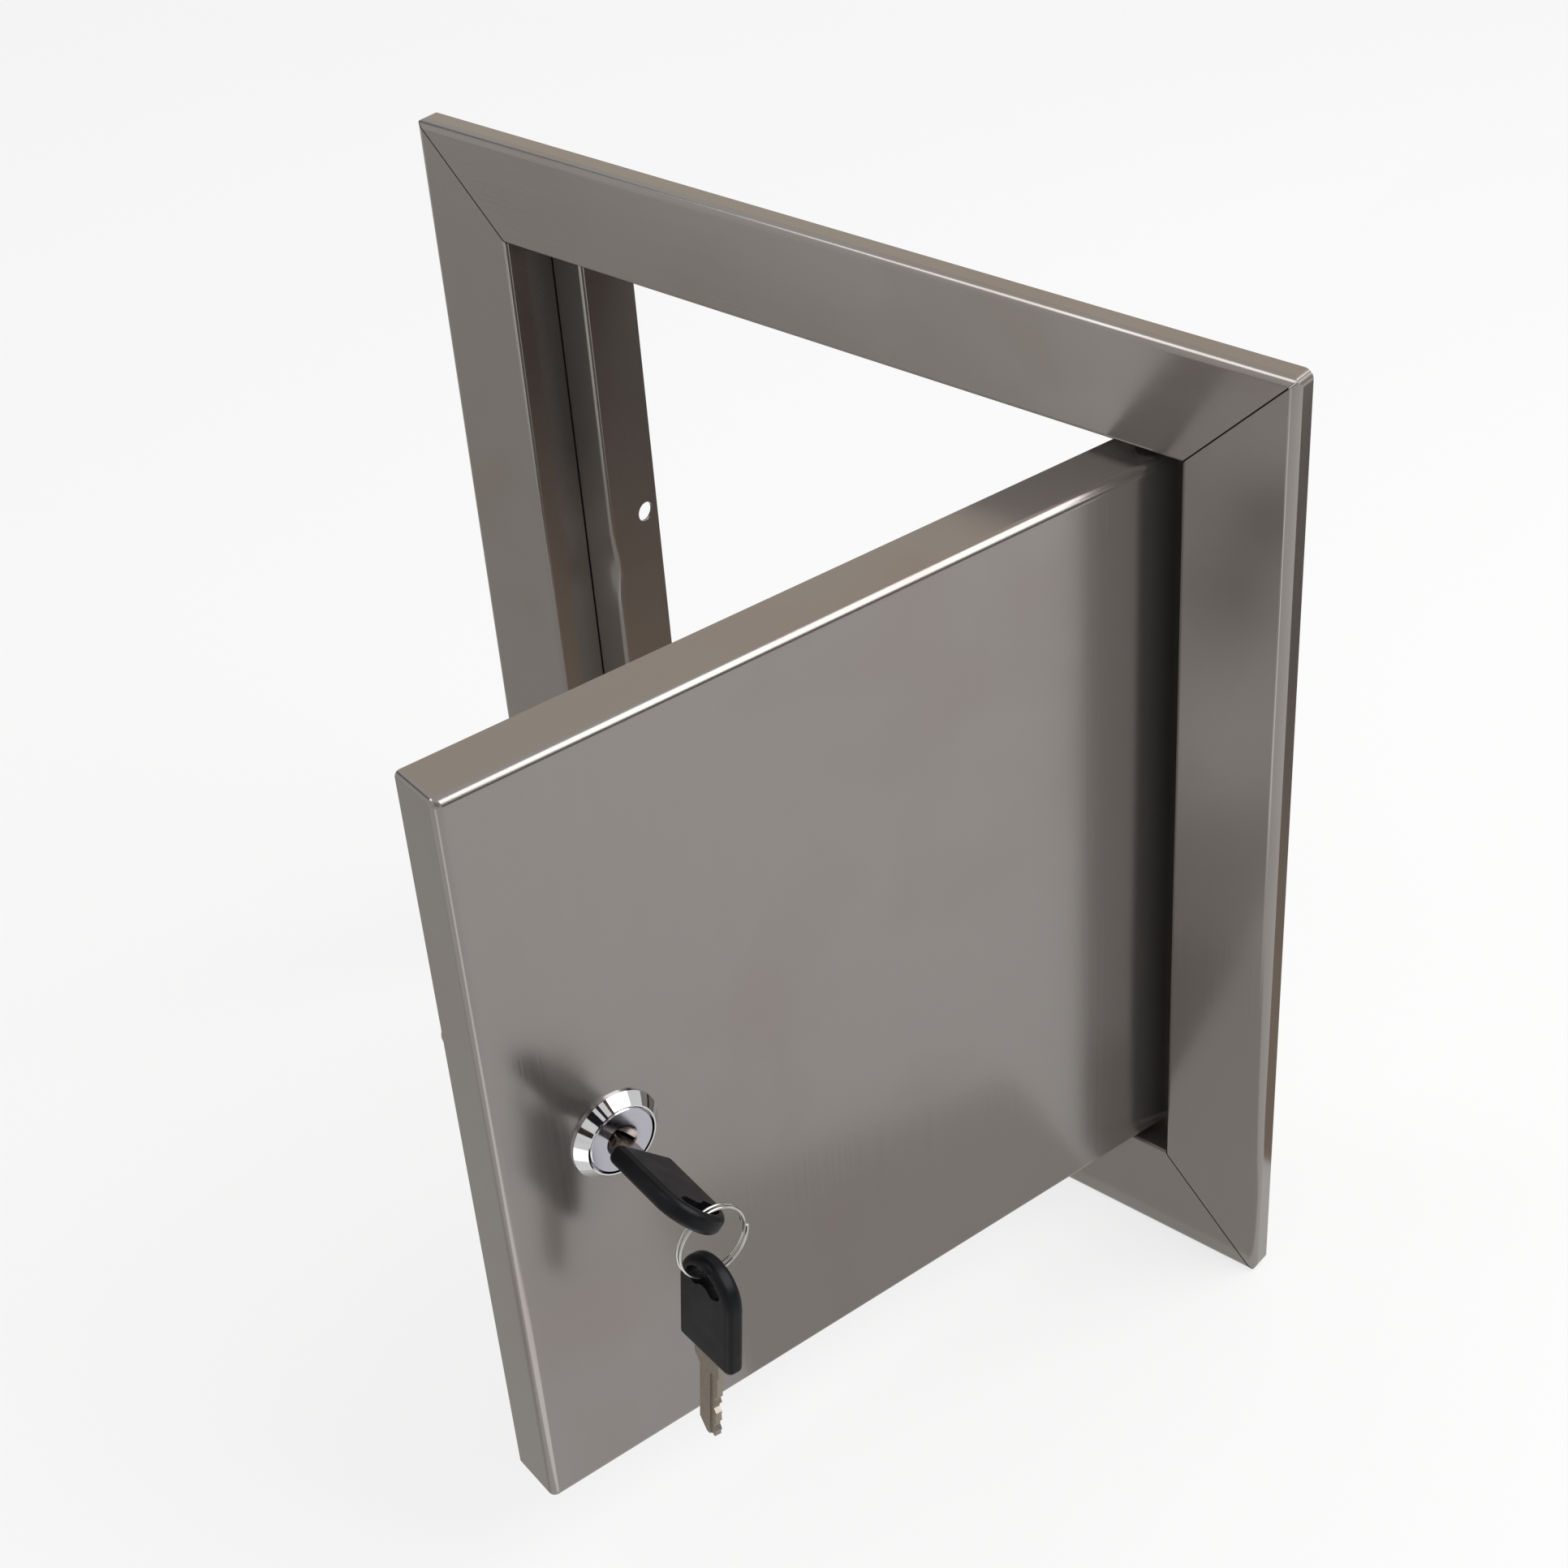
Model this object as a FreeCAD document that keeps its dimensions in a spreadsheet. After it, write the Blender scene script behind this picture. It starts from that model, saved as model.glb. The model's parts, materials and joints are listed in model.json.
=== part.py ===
import FreeCAD, Part
import math
import os
import types

import Sketcher

# Locking access panel: a folded steel frame with an inset pan door on two pivot screws,
# a key-operated cam lock, one key in the lock and a spare on a split ring.
# Axes: x to the right, y into the wall, z up. Origin: middle of the opening, on the wall surface.

Vector = FreeCAD.Vector
Placement = FreeCAD.Placement
Rotation = FreeCAD.Rotation
X_AXIS = Vector(1, 0, 0)
Y_AXIS = Vector(0, 1, 0)
Z_AXIS = Vector(0, 0, 1)

# Driving dimensions, in millimetres and degrees
SIZES = {
    # frame
    "panel_width": 300.0,
    "panel_height": 300.0,
    "face_width": 32.0,
    "frame_sheet": 1.0,
    "lip_depth": 7.0,
    "reveal_depth": 18.0,
    "ledge_width": 12.0,
    "frame_depth": 39.5,
    "bend_radius": 2.5,
    "fold_radius": 1.3,
    "corner_radius": 2.6,
    "mitre_gap": 0.2,
    "hinge_notch": 30.0,
    "fixing_hole_radius": 3.25,
    "fixing_hole_setback": 5.5,
    "fixing_hole_height": 13.5,
    # door
    "door_gap": 2.8,
    "door_depth": 16.5,
    "door_sheet": 1.0,
    "door_hem": 9.0,
    "door_corner_radius": 1.5,
    "door_angle": 77.0,
    # pivots
    "pivot_inset": 14.5,
    "pivot_setback": 8.25,
    "pivot_radius": 2.0,
    "pivot_running_gap": 0.05,
    "pivot_head_radius": 3.6,
    "pivot_head_height": 3.0,
    "pivot_nut_height": 4.0,
    "pivot_nut_radius": 4.1,
    "pivot_thread_end": 1.0,
    "pivot_washer_height": 1.2,
    "pivot_washer_radius": 4.0,
    "bush_wall": 1.0,
    "bush_flange_radius": 4.0,
    "bush_flange_height": 1.2,
    "bush_end": 0.3,
    "pivot_end_play": 0.4,
    "hinge_plate_length": 30.0,
    "hinge_plate_width": 11.0,
    "hinge_plate_height": 2.0,
    "hinge_plate_margin": 1.2,
    "hole_clearance": 0.1,
    # lock, measured along its axis from the door's front face
    "lock_edge_distance": 33.2,
    "lock_height": -2.5,
    "bezel_radius": 12.6,
    "bezel_height": 3.4,
    "bezel_edge": 0.6,
    "bezel_top_wall": 0.4,
    "bezel_bore": 9.65,
    "disc_gap": 0.4,
    "disc_seat": 1.2,
    "disc_chamfer": 0.3,
    "housing_radius": 9.2,
    "housing_flange_radius": 11.2,
    "housing_flange_height": 0.9,
    "housing_flat": 8.0,
    "housing_length": 30.0,
    "plug_radius": 7.0,
    "plug_running_gap": 0.05,
    "plug_end": 0.5,
    "lock_washer_height": 1.2,
    "lock_washer_radius": 13.5,
    "lock_nut_height": 5.0,
    "lock_nut_radius": 13.6,
    "plug_angle": -45.0,
    "dish_radius": 5.2,
    "dish_rise": 2.6,
    "tail_half": 4.0,
    "tail_short": 0.3,
    "cam_hole_gap": 0.05,
    "wafer_count": 5.0,
    "wafer_first": 3.0,
    "wafer_pitch": 3.0,
    "wafer_thickness": 0.9,
    "wafer_half_length": 6.3,
    "wafer_half_width": 2.7,
    "wafer_gap": 0.15,
    # cam
    "stop_washer_height": 1.0,
    "stop_washer_radius": 9.0,
    "cam_thickness": 2.0,
    "cam_half_width": 5.5,
    "cam_reach": 28.0,
    "cam_root": 8.0,
    "cam_bend_start": 10.0,
    "cam_bend_run": 5.0,
    "cam_latch_gap": 1.0,
    "cam_washer_height": 0.8,
    "cam_washer_radius": 6.0,
    "cam_screw_radius": 2.4,
    "cam_screw_length": 3.6,
    "cam_screw_head_radius": 4.8,
    "cam_screw_head_height": 2.8,
    "cam_screw_slot": 1.2,
    # keys
    "bow_half_width": 10.6,
    "bow_straight": 19.4,
    "bow_half_thickness": 2.6,
    "bow_edge_radius": 1.9,
    "bow_corner_radius": 1.5,
    "bow_height": 10.0,
    "bow_slot_inner": 3.4,
    "bow_slot_outer": 8.25,
    "bow_slot_angle": 130.0,
    "bow_slot_corner": 1.6,
    "blade_length": 26.8,
    "blade_half_width": 3.65,
    "blade_half_thickness": 0.9,
    "blade_gap": 0.5,
    "blade_tip": 3.0,
    "blade_head": 12.0,
    "blade_groove_half": 0.8,
    "blade_groove_depth": 0.45,
    "shoulder_width": 0.6,
    "back_shoulder_width": 2.2,
    "back_shoulder_slope": 2.6,
    "shoulder_gap": 0.6,
    "bitting_depth": 1.3,
    "key_droop": 3.0,
    "key_droop_depth": 7.0,
    # split ring and how it hangs
    "ring_radius": 9.7,
    "ring_wire_radius": 0.4,
    "ring_strand_gap": 0.45,
    "ring_turns": 2.0,
    "ring_slot_reach": 6.3,
    "ring_lean": 15.5,
    "spare_lean": 6.3,
    "spare_tilt": -0.9,
    "spare_slot_angle": 0.9,
    "spare_hang_radius": 6.95,
}

doc = FreeCAD.newDocument("access_panel")
sheet = doc.addObject("Spreadsheet::Sheet", "Sizes")
for row, (alias, number) in enumerate(SIZES.items(), start=1):
    sheet.set(f"A{row}", alias)
    sheet.set(f"B{row}", str(number))
    sheet.setAlias(f"B{row}", alias)
doc.recompute()


class Dim:
    """A size that carries its number and the sheet formula that gives it."""

    def __init__(self, value, text):
        self.value = value
        self.text = text

    def __add__(self, other):
        other = as_dim(other)
        return Dim(self.value + other.value, f"({self.text} + {other.text})")

    def __sub__(self, other):
        other = as_dim(other)
        return Dim(self.value - other.value, f"({self.text} - {other.text})")

    def __rsub__(self, other):
        return as_dim(other) - self

    def __mul__(self, other):
        other = as_dim(other)
        return Dim(self.value * other.value, f"({self.text} * {other.text})")

    def __neg__(self):
        return Dim(-self.value, f"(-1 * {self.text})")

    __radd__ = __add__
    __rmul__ = __mul__


def as_dim(number):
    return number if isinstance(number, Dim) else Dim(float(number), f"({float(number)})")


def sheet_dims():
    """Every alias of the sheet as a Dim, read back from its cell."""
    return types.SimpleNamespace(**{n: Dim(float(sheet.get(n)), f"Sizes.{n}") for n in SIZES})


dim = sheet_dims()
OVERCUT = 1.0
FULL_TURN = 360.0

# Levels shared by several pieces
face_front = -dim.lip_depth
ledge_front = dim.reveal_depth - dim.lip_depth
frame_back = dim.frame_depth - dim.lip_depth
opening_half_width = dim.panel_width * 0.5 - dim.face_width
opening_half_height = dim.panel_height * 0.5 - dim.face_width
inner_bend = dim.bend_radius - dim.frame_sheet
inner_fold = dim.fold_radius - dim.frame_sheet
door_half_width = opening_half_width - dim.door_gap
door_half_height = opening_half_height - dim.door_gap
pivot_x = opening_half_width - dim.pivot_inset
pivot_y = dim.pivot_setback - dim.lip_depth
lock_x = dim.lock_edge_distance - door_half_width
disc_radius = dim.bezel_bore - dim.disc_gap
housing_end = -dim.housing_length
plug_end = housing_end - dim.plug_end
stop_end = plug_end - dim.stop_washer_height
cam_end = stop_end - dim.cam_thickness
cam_washer_end = cam_end - dim.cam_washer_height
latch_front = -(dim.frame_depth + dim.cam_latch_gap)

parts = []


def new_body(label):
    body = doc.addObject("PartDesign::Body", label)
    body.Label = label
    parts.append(body)
    return body


def bind(item, prop, size):
    """Set a property from a size and keep it tied to the sheet."""
    size = as_dim(size)
    item.setExpression(prop, size.text)


def origin_plane(body, role):
    return next(f for f in body.Origin.OriginFeatures if f.Role == role)


def sketch_on(body, role, *loops):
    """A sketch of closed straight-sided loops whose corners are tied to the sheet."""
    sketch = body.newObject("Sketcher::SketchObject", "outline")
    sketch.AttachmentSupport = [(origin_plane(body, role), "")]
    sketch.MapMode = "FlatFace"
    for loop in loops:
        corners = [(as_dim(a), as_dim(b)) for a, b in loop]
        points = [Vector(a.value, b.value, 0) for a, b in corners]
        first = sketch.GeometryCount
        count = len(points)
        for i in range(count):
            sketch.addGeometry(Part.LineSegment(points[i], points[(i + 1) % count]))
        for i, (a, b) in enumerate(corners):
            line = first + i
            following = first + (i + 1) % count
            sketch.addConstraint(Sketcher.Constraint("Coincident", line, 2, following, 1))
            for kind, size in (("DistanceX", a), ("DistanceY", b)):
                index = sketch.addConstraint(Sketcher.Constraint(kind, -1, 1, line, 1, size.value))
                bind(sketch, f"Constraints[{index}]", size)
    doc.recompute()
    return sketch


def pad_middle(body, sketch, length):
    pad = body.newObject("PartDesign::Pad", "pad")
    pad.Profile = sketch
    pad.Midplane = True
    bind(pad, "Length", length)
    doc.recompute()
    return pad


def pocket_through(body, sketch):
    """Cut a sketch through the whole body, both ways, and check that it removed metal."""
    before = body.Shape.Volume
    pocket = body.newObject("PartDesign::Pocket", "pocket")
    pocket.Profile = sketch
    pocket.Midplane = True
    pocket.Type = "ThroughAll"
    doc.recompute()
    if body.Shape.Volume >= before:
        raise RuntimeError(f"{body.Label}: a cut removed nothing")
    return pocket


def revolve(body, profile):
    """Turn a (radius, height) outline about the body's own z axis."""
    sketch = sketch_on(body, "XZ_Plane", profile)
    turned = body.newObject("PartDesign::Revolution", "turned")
    turned.Profile = sketch
    turned.ReferenceAxis = (sketch, ["V_Axis"])
    turned.Angle = FULL_TURN
    doc.recompute()
    return turned


def place_primitive(item, base, turn):
    item.Placement = Placement(Vector(), turn)
    for axis, size in zip("xyz", base):
        bind(item, f"Placement.Base.{axis}", size)


def box(body, kind, base, lengths):
    """A box added to or cut from a body; base is its lowest corner."""
    item = body.newObject(f"PartDesign::{kind}Box", "block")
    for prop, size in zip(("Length", "Width", "Height"), lengths):
        bind(item, prop, size)
    place_primitive(item, base, Rotation())
    doc.recompute()
    return item


def centred_box(body, kind, half_x, half_y, low, high):
    return box(body, kind, (-half_x, -half_y, low), (half_x * 2, half_y * 2, high - low))


def cylinder(body, kind, base, axis, radius, height):
    item = body.newObject(f"PartDesign::{kind}Cylinder", "round")
    bind(item, "Radius", radius)
    bind(item, "Height", height)
    place_primitive(item, base, Rotation(Z_AXIS, axis))
    doc.recompute()
    return item


def round_edges(body, radius, test):
    """Fillet the edges of a body that pass a test."""
    base = body.Tip
    names = [f"Edge{i}" for i, edge in enumerate(base.Shape.Edges, start=1) if test(edge)]
    if not names:
        raise RuntimeError(f"{body.Label}: no edge to round")
    fillet = body.newObject("PartDesign::Fillet", "rounding")
    fillet.Base = (base, names)
    bind(fillet, "Radius", radius)
    doc.recompute()
    return fillet


def near(a, b):
    return abs(a - as_dim(b).value) < 1e-4


def along(edge, axis):
    """True for a straight edge that runs along an axis."""
    if len(edge.Vertexes) != 2:
        return False
    span = edge.Vertexes[1].Point - edge.Vertexes[0].Point
    straight = abs(span.Length - edge.Length) < 1e-6
    return straight and abs(abs(span.dot(axis)) - span.Length) < 1e-6


def on_lines(edge, axis, lines):
    """True for an edge along z that stands on one of the (x, y) lines."""
    centre = edge.CenterOfMass
    return along(edge, axis) and any(near(centre.x, x) and near(centre.y, y) for x, y in lines)


# Folded rails. Local axes: x from the middle of the panel outwards, y into the wall, z along the rail.
def rail(label, half, half_across, turn, ledge=True, notch_end=0, pivot_at=None, hole_at=None):
    body = new_body(label)
    sheet_size = dim.frame_sheet
    outer = half
    inner = half - dim.face_width
    face_back = face_front + sheet_size
    visible = [(outer, 0), (outer, face_front), (inner, face_front)]
    hidden = [(inner + sheet_size, face_back), (outer - sheet_size, face_back), (outer - sheet_size, 0)]
    lip_bend, face_fold = visible[1], visible[2]
    fold_back, lip_back = hidden[0], hidden[1]
    folds_out = [face_fold]
    folds_in = [fold_back]
    wall = inner
    if ledge:
        wall = inner - dim.ledge_width
        ledge_back = ledge_front + sheet_size
        visible += [(inner, ledge_front), (wall, ledge_front), (wall, frame_back)]
        hidden = [(wall + sheet_size, frame_back), (wall + sheet_size, ledge_back),
                  (inner + sheet_size, ledge_back)] + hidden
        folds_out += [(wall, ledge_front), (inner + sheet_size, ledge_back)]
        folds_in += [(inner, ledge_front), (wall + sheet_size, ledge_back)]
    else:
        visible += [(inner, frame_back)]
        hidden = [(inner + sheet_size, frame_back)] + hidden
    pad_middle(body, sketch_on(body, "XY_Plane", visible + hidden), half_across * 2)
    round_edges(body, dim.bend_radius, lambda edge: on_lines(edge, Z_AXIS, [lip_bend]))
    round_edges(body, inner_bend, lambda edge: on_lines(edge, Z_AXIS, [lip_back]))
    round_edges(body, dim.fold_radius, lambda edge: on_lines(edge, Z_AXIS, folds_out))
    round_edges(body, inner_fold, lambda edge: on_lines(edge, Z_AXIS, folds_in))
    # mitred ends, with half of the hairline gap taken from each rail, and the outer corner ground round
    low = wall - OVERCUT
    high = outer + OVERCUT
    offset = half_across - half - dim.mitre_gap * 0.5
    end = half_across + dim.face_width
    round_x = outer - dim.corner_radius
    round_z = half_across - dim.corner_radius
    tip = round_x + dim.corner_radius * math.cos(math.radians(45))
    upper = [(low, low + offset), (tip, tip + offset)]
    for angle in (37.5, 30, 22.5, 15, 7.5, 0):
        across = dim.corner_radius * math.cos(math.radians(angle))
        upper.append((round_x + across, round_z + dim.corner_radius * math.sin(math.radians(angle))))
    upper += [(high, round_z), (high, end), (low, end)]
    lower = [(a, -b) for a, b in upper]
    pocket_through(body, sketch_on(body, "XZ_Plane", upper, lower))
    if notch_end:
        # ledge and sleeve stop short of the hinge corner, where the door's edge swings back
        start = (half_across - dim.face_width - dim.hinge_notch) * notch_end
        front = ledge_front - inner_fold
        stop = end * notch_end
        back = frame_back + OVERCUT
        loop = [(front, start), (back, start), (back, stop), (front, stop)]
        pocket_through(body, sketch_on(body, "YZ_Plane", loop))
    drill = sheet_size + dim.bend_radius * 2
    if pivot_at is not None:
        cylinder(body, "Subtractive", (inner - dim.bend_radius, pivot_y, pivot_at), X_AXIS,
                 dim.pivot_radius + dim.hole_clearance, drill)
    if hole_at is not None:
        hole_y = frame_back - dim.fixing_hole_setback
        cylinder(body, "Subtractive", (wall - dim.bend_radius, hole_y, hole_at), X_AXIS,
                 dim.fixing_hole_radius, drill)
    body.Placement = Placement(Vector(), Rotation(Y_AXIS, turn))


half_width = dim.panel_width * 0.5
half_height = dim.panel_height * 0.5
rail("frame_left_rail", half_width, half_height, 180, hole_at=-dim.fixing_hole_height)
rail("frame_right_rail", half_width, half_height, 0, ledge=False, hole_at=dim.fixing_hole_height)
rail("frame_top_rail", half_height, half_width, -90, notch_end=-1, pivot_at=-pivot_x)
rail("frame_bottom_rail", half_height, half_width, 90, notch_end=1, pivot_at=pivot_x)

# How the moving groups stand in the photographed pose
pivot_point = Vector(pivot_x.value, pivot_y.value, 0)
door_turn = Rotation(Z_AXIS, dim.door_angle.value)
DOOR = Placement(pivot_point - door_turn.multVec(pivot_point), door_turn)
lock_point = Vector(lock_x.value, face_front.value, dim.lock_height.value)
LOCK = DOOR * Placement(lock_point, Rotation(X_AXIS, 90))
PLUG = LOCK * Placement(Vector(), Rotation(Z_AXIS, dim.plug_angle.value))
UPPER = Placement(Vector(pivot_x.value, pivot_y.value, opening_half_height.value), Rotation())
LOWER = Placement(Vector(pivot_x.value, pivot_y.value, -opening_half_height.value), Rotation(X_AXIS, 180))


# Door: a folded pan with closed corners and a hem round its open back
def door_pan():
    body = new_body("door_pan")
    wall = dim.door_sheet
    width = door_half_width * 2
    height = door_half_height * 2
    corner = (-door_half_width, face_front, -door_half_height)
    box(body, "Additive", corner, (width, dim.door_depth, height))
    round_edges(body, dim.door_corner_radius, lambda edge: along(edge, Y_AXIS))
    round_edges(body, dim.bend_radius, lambda edge: near(edge.CenterOfMass.y, face_front))
    cavity = (corner[0] + wall, corner[1] + wall, corner[2] + wall)
    box(body, "Subtractive", cavity, (width - wall * 2, dim.door_depth - wall * 2, height - wall * 2))
    cavity_front = face_front + wall
    round_edges(body, dim.bend_radius - wall, lambda edge: near(edge.CenterOfMass.y, cavity_front))
    hem = dim.door_hem
    window = (corner[0] + hem, face_front + dim.door_depth * 0.5, corner[2] + hem)
    box(body, "Subtractive", window, (width - hem * 2, dim.door_depth, height - hem * 2))
    cylinder(body, "Subtractive", (lock_x, face_front - OVERCUT, dim.lock_height), Y_AXIS,
             dim.housing_radius + dim.hole_clearance, wall + OVERCUT * 2)
    bush_hole = dim.pivot_radius + dim.pivot_running_gap + dim.bush_wall
    for side in (1, -1):
        level = (door_half_height - wall * 0.5) * side - wall
        cylinder(body, "Subtractive", (pivot_x, pivot_y, level), Z_AXIS, bush_hole, wall * 2)
    body.Placement = DOOR


door_pan()


# Pivots. Local axes: z along the pivot, zero on the frame's reveal, positive away from the door.
def pivot_set(name, place):
    bore = dim.pivot_radius + dim.pivot_running_gap
    door_level = -dim.door_gap
    flange_top = door_level + dim.bush_flange_height
    bush_end = door_level - dim.door_sheet - dim.hinge_plate_height - dim.bush_end
    head_top = bush_end - dim.pivot_end_play
    head_end = head_top - dim.pivot_head_height
    screw_end = dim.frame_sheet + dim.pivot_nut_height + dim.pivot_thread_end
    screw = new_body(f"{name}_pivot_screw")
    revolve(screw, [(0, head_end), (dim.pivot_head_radius, head_end), (dim.pivot_head_radius, head_top),
                    (dim.pivot_radius, head_top), (dim.pivot_radius, screw_end), (0, screw_end)])
    screw.Placement = place
    washer = new_body(f"{name}_pivot_washer")
    revolve(washer, [(bore, -dim.pivot_washer_height), (dim.pivot_washer_radius, -dim.pivot_washer_height),
                     (dim.pivot_washer_radius, 0), (bore, 0)])
    washer.Placement = place
    bush = new_body(f"{name}_pivot_bush")
    body_radius = bore + dim.bush_wall
    revolve(bush, [(bore, bush_end), (body_radius, bush_end), (body_radius, door_level),
                   (dim.bush_flange_radius, door_level), (dim.bush_flange_radius, flange_top),
                   (bore, flange_top)])
    bush.Placement = DOOR * place
    plate = new_body(f"{name}_hinge_plate")
    plate_top = door_level - dim.door_sheet
    plate_right = dim.pivot_inset - dim.door_gap - dim.door_sheet - dim.hinge_plate_margin
    base = (plate_right - dim.hinge_plate_length, -dim.hinge_plate_width * 0.5,
            plate_top - dim.hinge_plate_height)
    box(plate, "Additive", base, (dim.hinge_plate_length, dim.hinge_plate_width, dim.hinge_plate_height))
    cylinder(plate, "Subtractive", (0, 0, base[2] - OVERCUT), Z_AXIS, body_radius,
             dim.hinge_plate_height + OVERCUT * 2)
    plate.Placement = DOOR * place


pivot_set("upper", UPPER)
pivot_set("lower", LOWER)


def part_object(kind, name, **sizes):
    """A Part primitive with its sizes tied to the sheet."""
    item = doc.addObject(f"Part::{kind}", name)
    for prop, size in sizes.items():
        bind(item, prop, size)
    return item


def shift(item, x, y, z, turn=Rotation()):
    place_primitive(item, (x, y, z), turn)
    return item


def cut(name, base, tool):
    item = doc.addObject("Part::Cut", name)
    item.Base = base
    item.Tool = tool
    return item


def group(label, pieces):
    """Identical small pieces in one node, as separate solids."""
    item = doc.addObject("Part::Compound", label)
    item.Label = label
    item.Links = pieces
    parts.append(item)
    doc.recompute()
    return item


def pivot_nuts():
    nuts = []
    for side in (1, -1):
        level = opening_half_height + dim.frame_sheet
        low = level if side > 0 else -level - dim.pivot_nut_height
        hexagon = part_object("Prism", "nut_hexagon", Circumradius=dim.pivot_nut_radius,
                              Height=dim.pivot_nut_height)
        hexagon.Polygon = 6
        bore = part_object("Cylinder", "nut_bore", Radius=dim.pivot_radius + dim.pivot_running_gap,
                           Height=dim.pivot_nut_height)
        for item in (hexagon, bore):
            shift(item, pivot_x, pivot_y, low)
        nuts.append(cut("nut", hexagon, bore))
    group("pivot_nuts", nuts)


pivot_nuts()


# Lock. Local axes: z out of the door along the lock, zero on the door's face; x towards the hinge; y up.
def lock_bezel():
    body = new_body("lock_bezel")
    recess = dim.housing_flange_radius + dim.hole_clearance
    roof = dim.housing_flange_height + dim.hole_clearance
    top = dim.bezel_height
    revolve(body, [(recess, 0), (dim.bezel_radius, 0), (dim.bezel_radius, dim.bezel_edge),
                   (dim.bezel_bore + dim.bezel_top_wall, top), (dim.bezel_bore, top),
                   (dim.bezel_bore, roof), (recess, roof)])
    body.Placement = LOCK


def lock_housing():
    body = new_body("lock_housing")
    bore = dim.plug_radius + dim.plug_running_gap
    radius = dim.housing_radius
    flange = dim.housing_flange_radius
    revolve(body, [(bore, housing_end), (radius, housing_end), (radius, 0), (flange, 0),
                   (flange, dim.housing_flange_height), (bore, dim.housing_flange_height)])
    below = dim.door_sheet + dim.lock_washer_height
    for side in (1, -1):
        low = dim.housing_flat if side > 0 else -dim.housing_flat - radius
        box(body, "Subtractive", (-radius, low, housing_end - OVERCUT),
            (radius * 2, radius, dim.housing_length - below + OVERCUT))
    body.Placement = LOCK


def lock_washer():
    body = new_body("lock_washer")
    high = -dim.door_sheet
    low = high - dim.lock_washer_height
    bore = dim.housing_radius + dim.hole_clearance
    revolve(body, [(bore, low), (dim.lock_washer_radius, low), (dim.lock_washer_radius, high), (bore, high)])
    body.Placement = LOCK


def lock_nut():
    body = new_body("lock_nut")
    high = -dim.door_sheet - dim.lock_washer_height
    low = high - dim.lock_nut_height
    prism = body.newObject("PartDesign::AdditivePrism", "hexagon")
    prism.Polygon = 6
    bind(prism, "Circumradius", dim.lock_nut_radius)
    bind(prism, "Height", dim.lock_nut_height)
    place_primitive(prism, (0, 0, low), Rotation())
    doc.recompute()
    cylinder(body, "Subtractive", (0, 0, low - OVERCUT), Z_AXIS, dim.housing_radius + dim.hole_clearance,
             dim.lock_nut_height + OVERCUT * 2)
    body.Placement = LOCK


def wafer_level(index):
    return -dim.wafer_first - dim.wafer_pitch * index


keyway_half_width = dim.blade_half_width + dim.blade_gap
keyway_half_height = dim.blade_half_thickness + dim.blade_gap
keyway_end = dim.bow_height - dim.blade_length - dim.blade_gap * 2


def lock_plug():
    body = new_body("lock_plug")
    top = dim.bezel_height
    seat = dim.disc_seat
    radius = dim.plug_radius
    chamfer = dim.disc_chamfer
    revolve(body, [(0, plug_end), (radius, plug_end), (radius, seat), (disc_radius, seat),
                   (disc_radius, top - chamfer), (disc_radius - chamfer, top), (0, top)])
    tail_end = cam_end + dim.tail_short
    centred_box(body, "Additive", dim.tail_half, dim.tail_half, tail_end, plug_end)
    dish = body.newObject("PartDesign::SubtractiveSphere", "dish")
    bind(dish, "Radius", dim.dish_radius)
    place_primitive(dish, (0, 0, top + dim.dish_rise), Rotation())
    doc.recompute()
    centred_box(body, "Subtractive", keyway_half_width, keyway_half_height, keyway_end, top + OVERCUT)
    slot_half = dim.wafer_half_width + dim.wafer_gap
    for index in range(int(dim.wafer_count.value)):
        level = wafer_level(index)
        centred_box(body, "Subtractive", radius + OVERCUT, slot_half,
                    level - dim.wafer_thickness - dim.wafer_gap, level + dim.wafer_gap)
    cylinder(body, "Subtractive", (0, 0, cam_washer_end), Z_AXIS,
             dim.cam_screw_radius + dim.plug_running_gap, dim.cam_screw_length + dim.wafer_gap)
    body.Placement = PLUG


def lock_wafers():
    wafers = []
    for index in range(int(dim.wafer_count.value)):
        low = wafer_level(index) - dim.wafer_thickness
        length = dim.wafer_half_length
        width = dim.wafer_half_width
        leaf = part_object("Box", "wafer_leaf", Length=length * 2, Width=width * 2,
                           Height=dim.wafer_thickness)
        shift(leaf, -length, -width, low)
        window = part_object("Box", "wafer_window", Length=keyway_half_width * 2,
                             Width=keyway_half_height * 2, Height=dim.wafer_thickness)
        shift(window, -keyway_half_width, -keyway_half_height, low)
        wafers.append(cut("wafer", leaf, window))
    group("lock_wafers", wafers).Placement = PLUG


def square_hole(body, low, high):
    half = dim.tail_half + dim.cam_hole_gap
    centred_box(body, "Subtractive", half, half, low - OVERCUT, high + OVERCUT)


def stop_washer():
    body = new_body("stop_washer")
    revolve(body, [(0, stop_end), (dim.stop_washer_radius, stop_end),
                   (dim.stop_washer_radius, plug_end), (0, plug_end)])
    square_hole(body, stop_end, plug_end)
    body.Placement = PLUG


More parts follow.
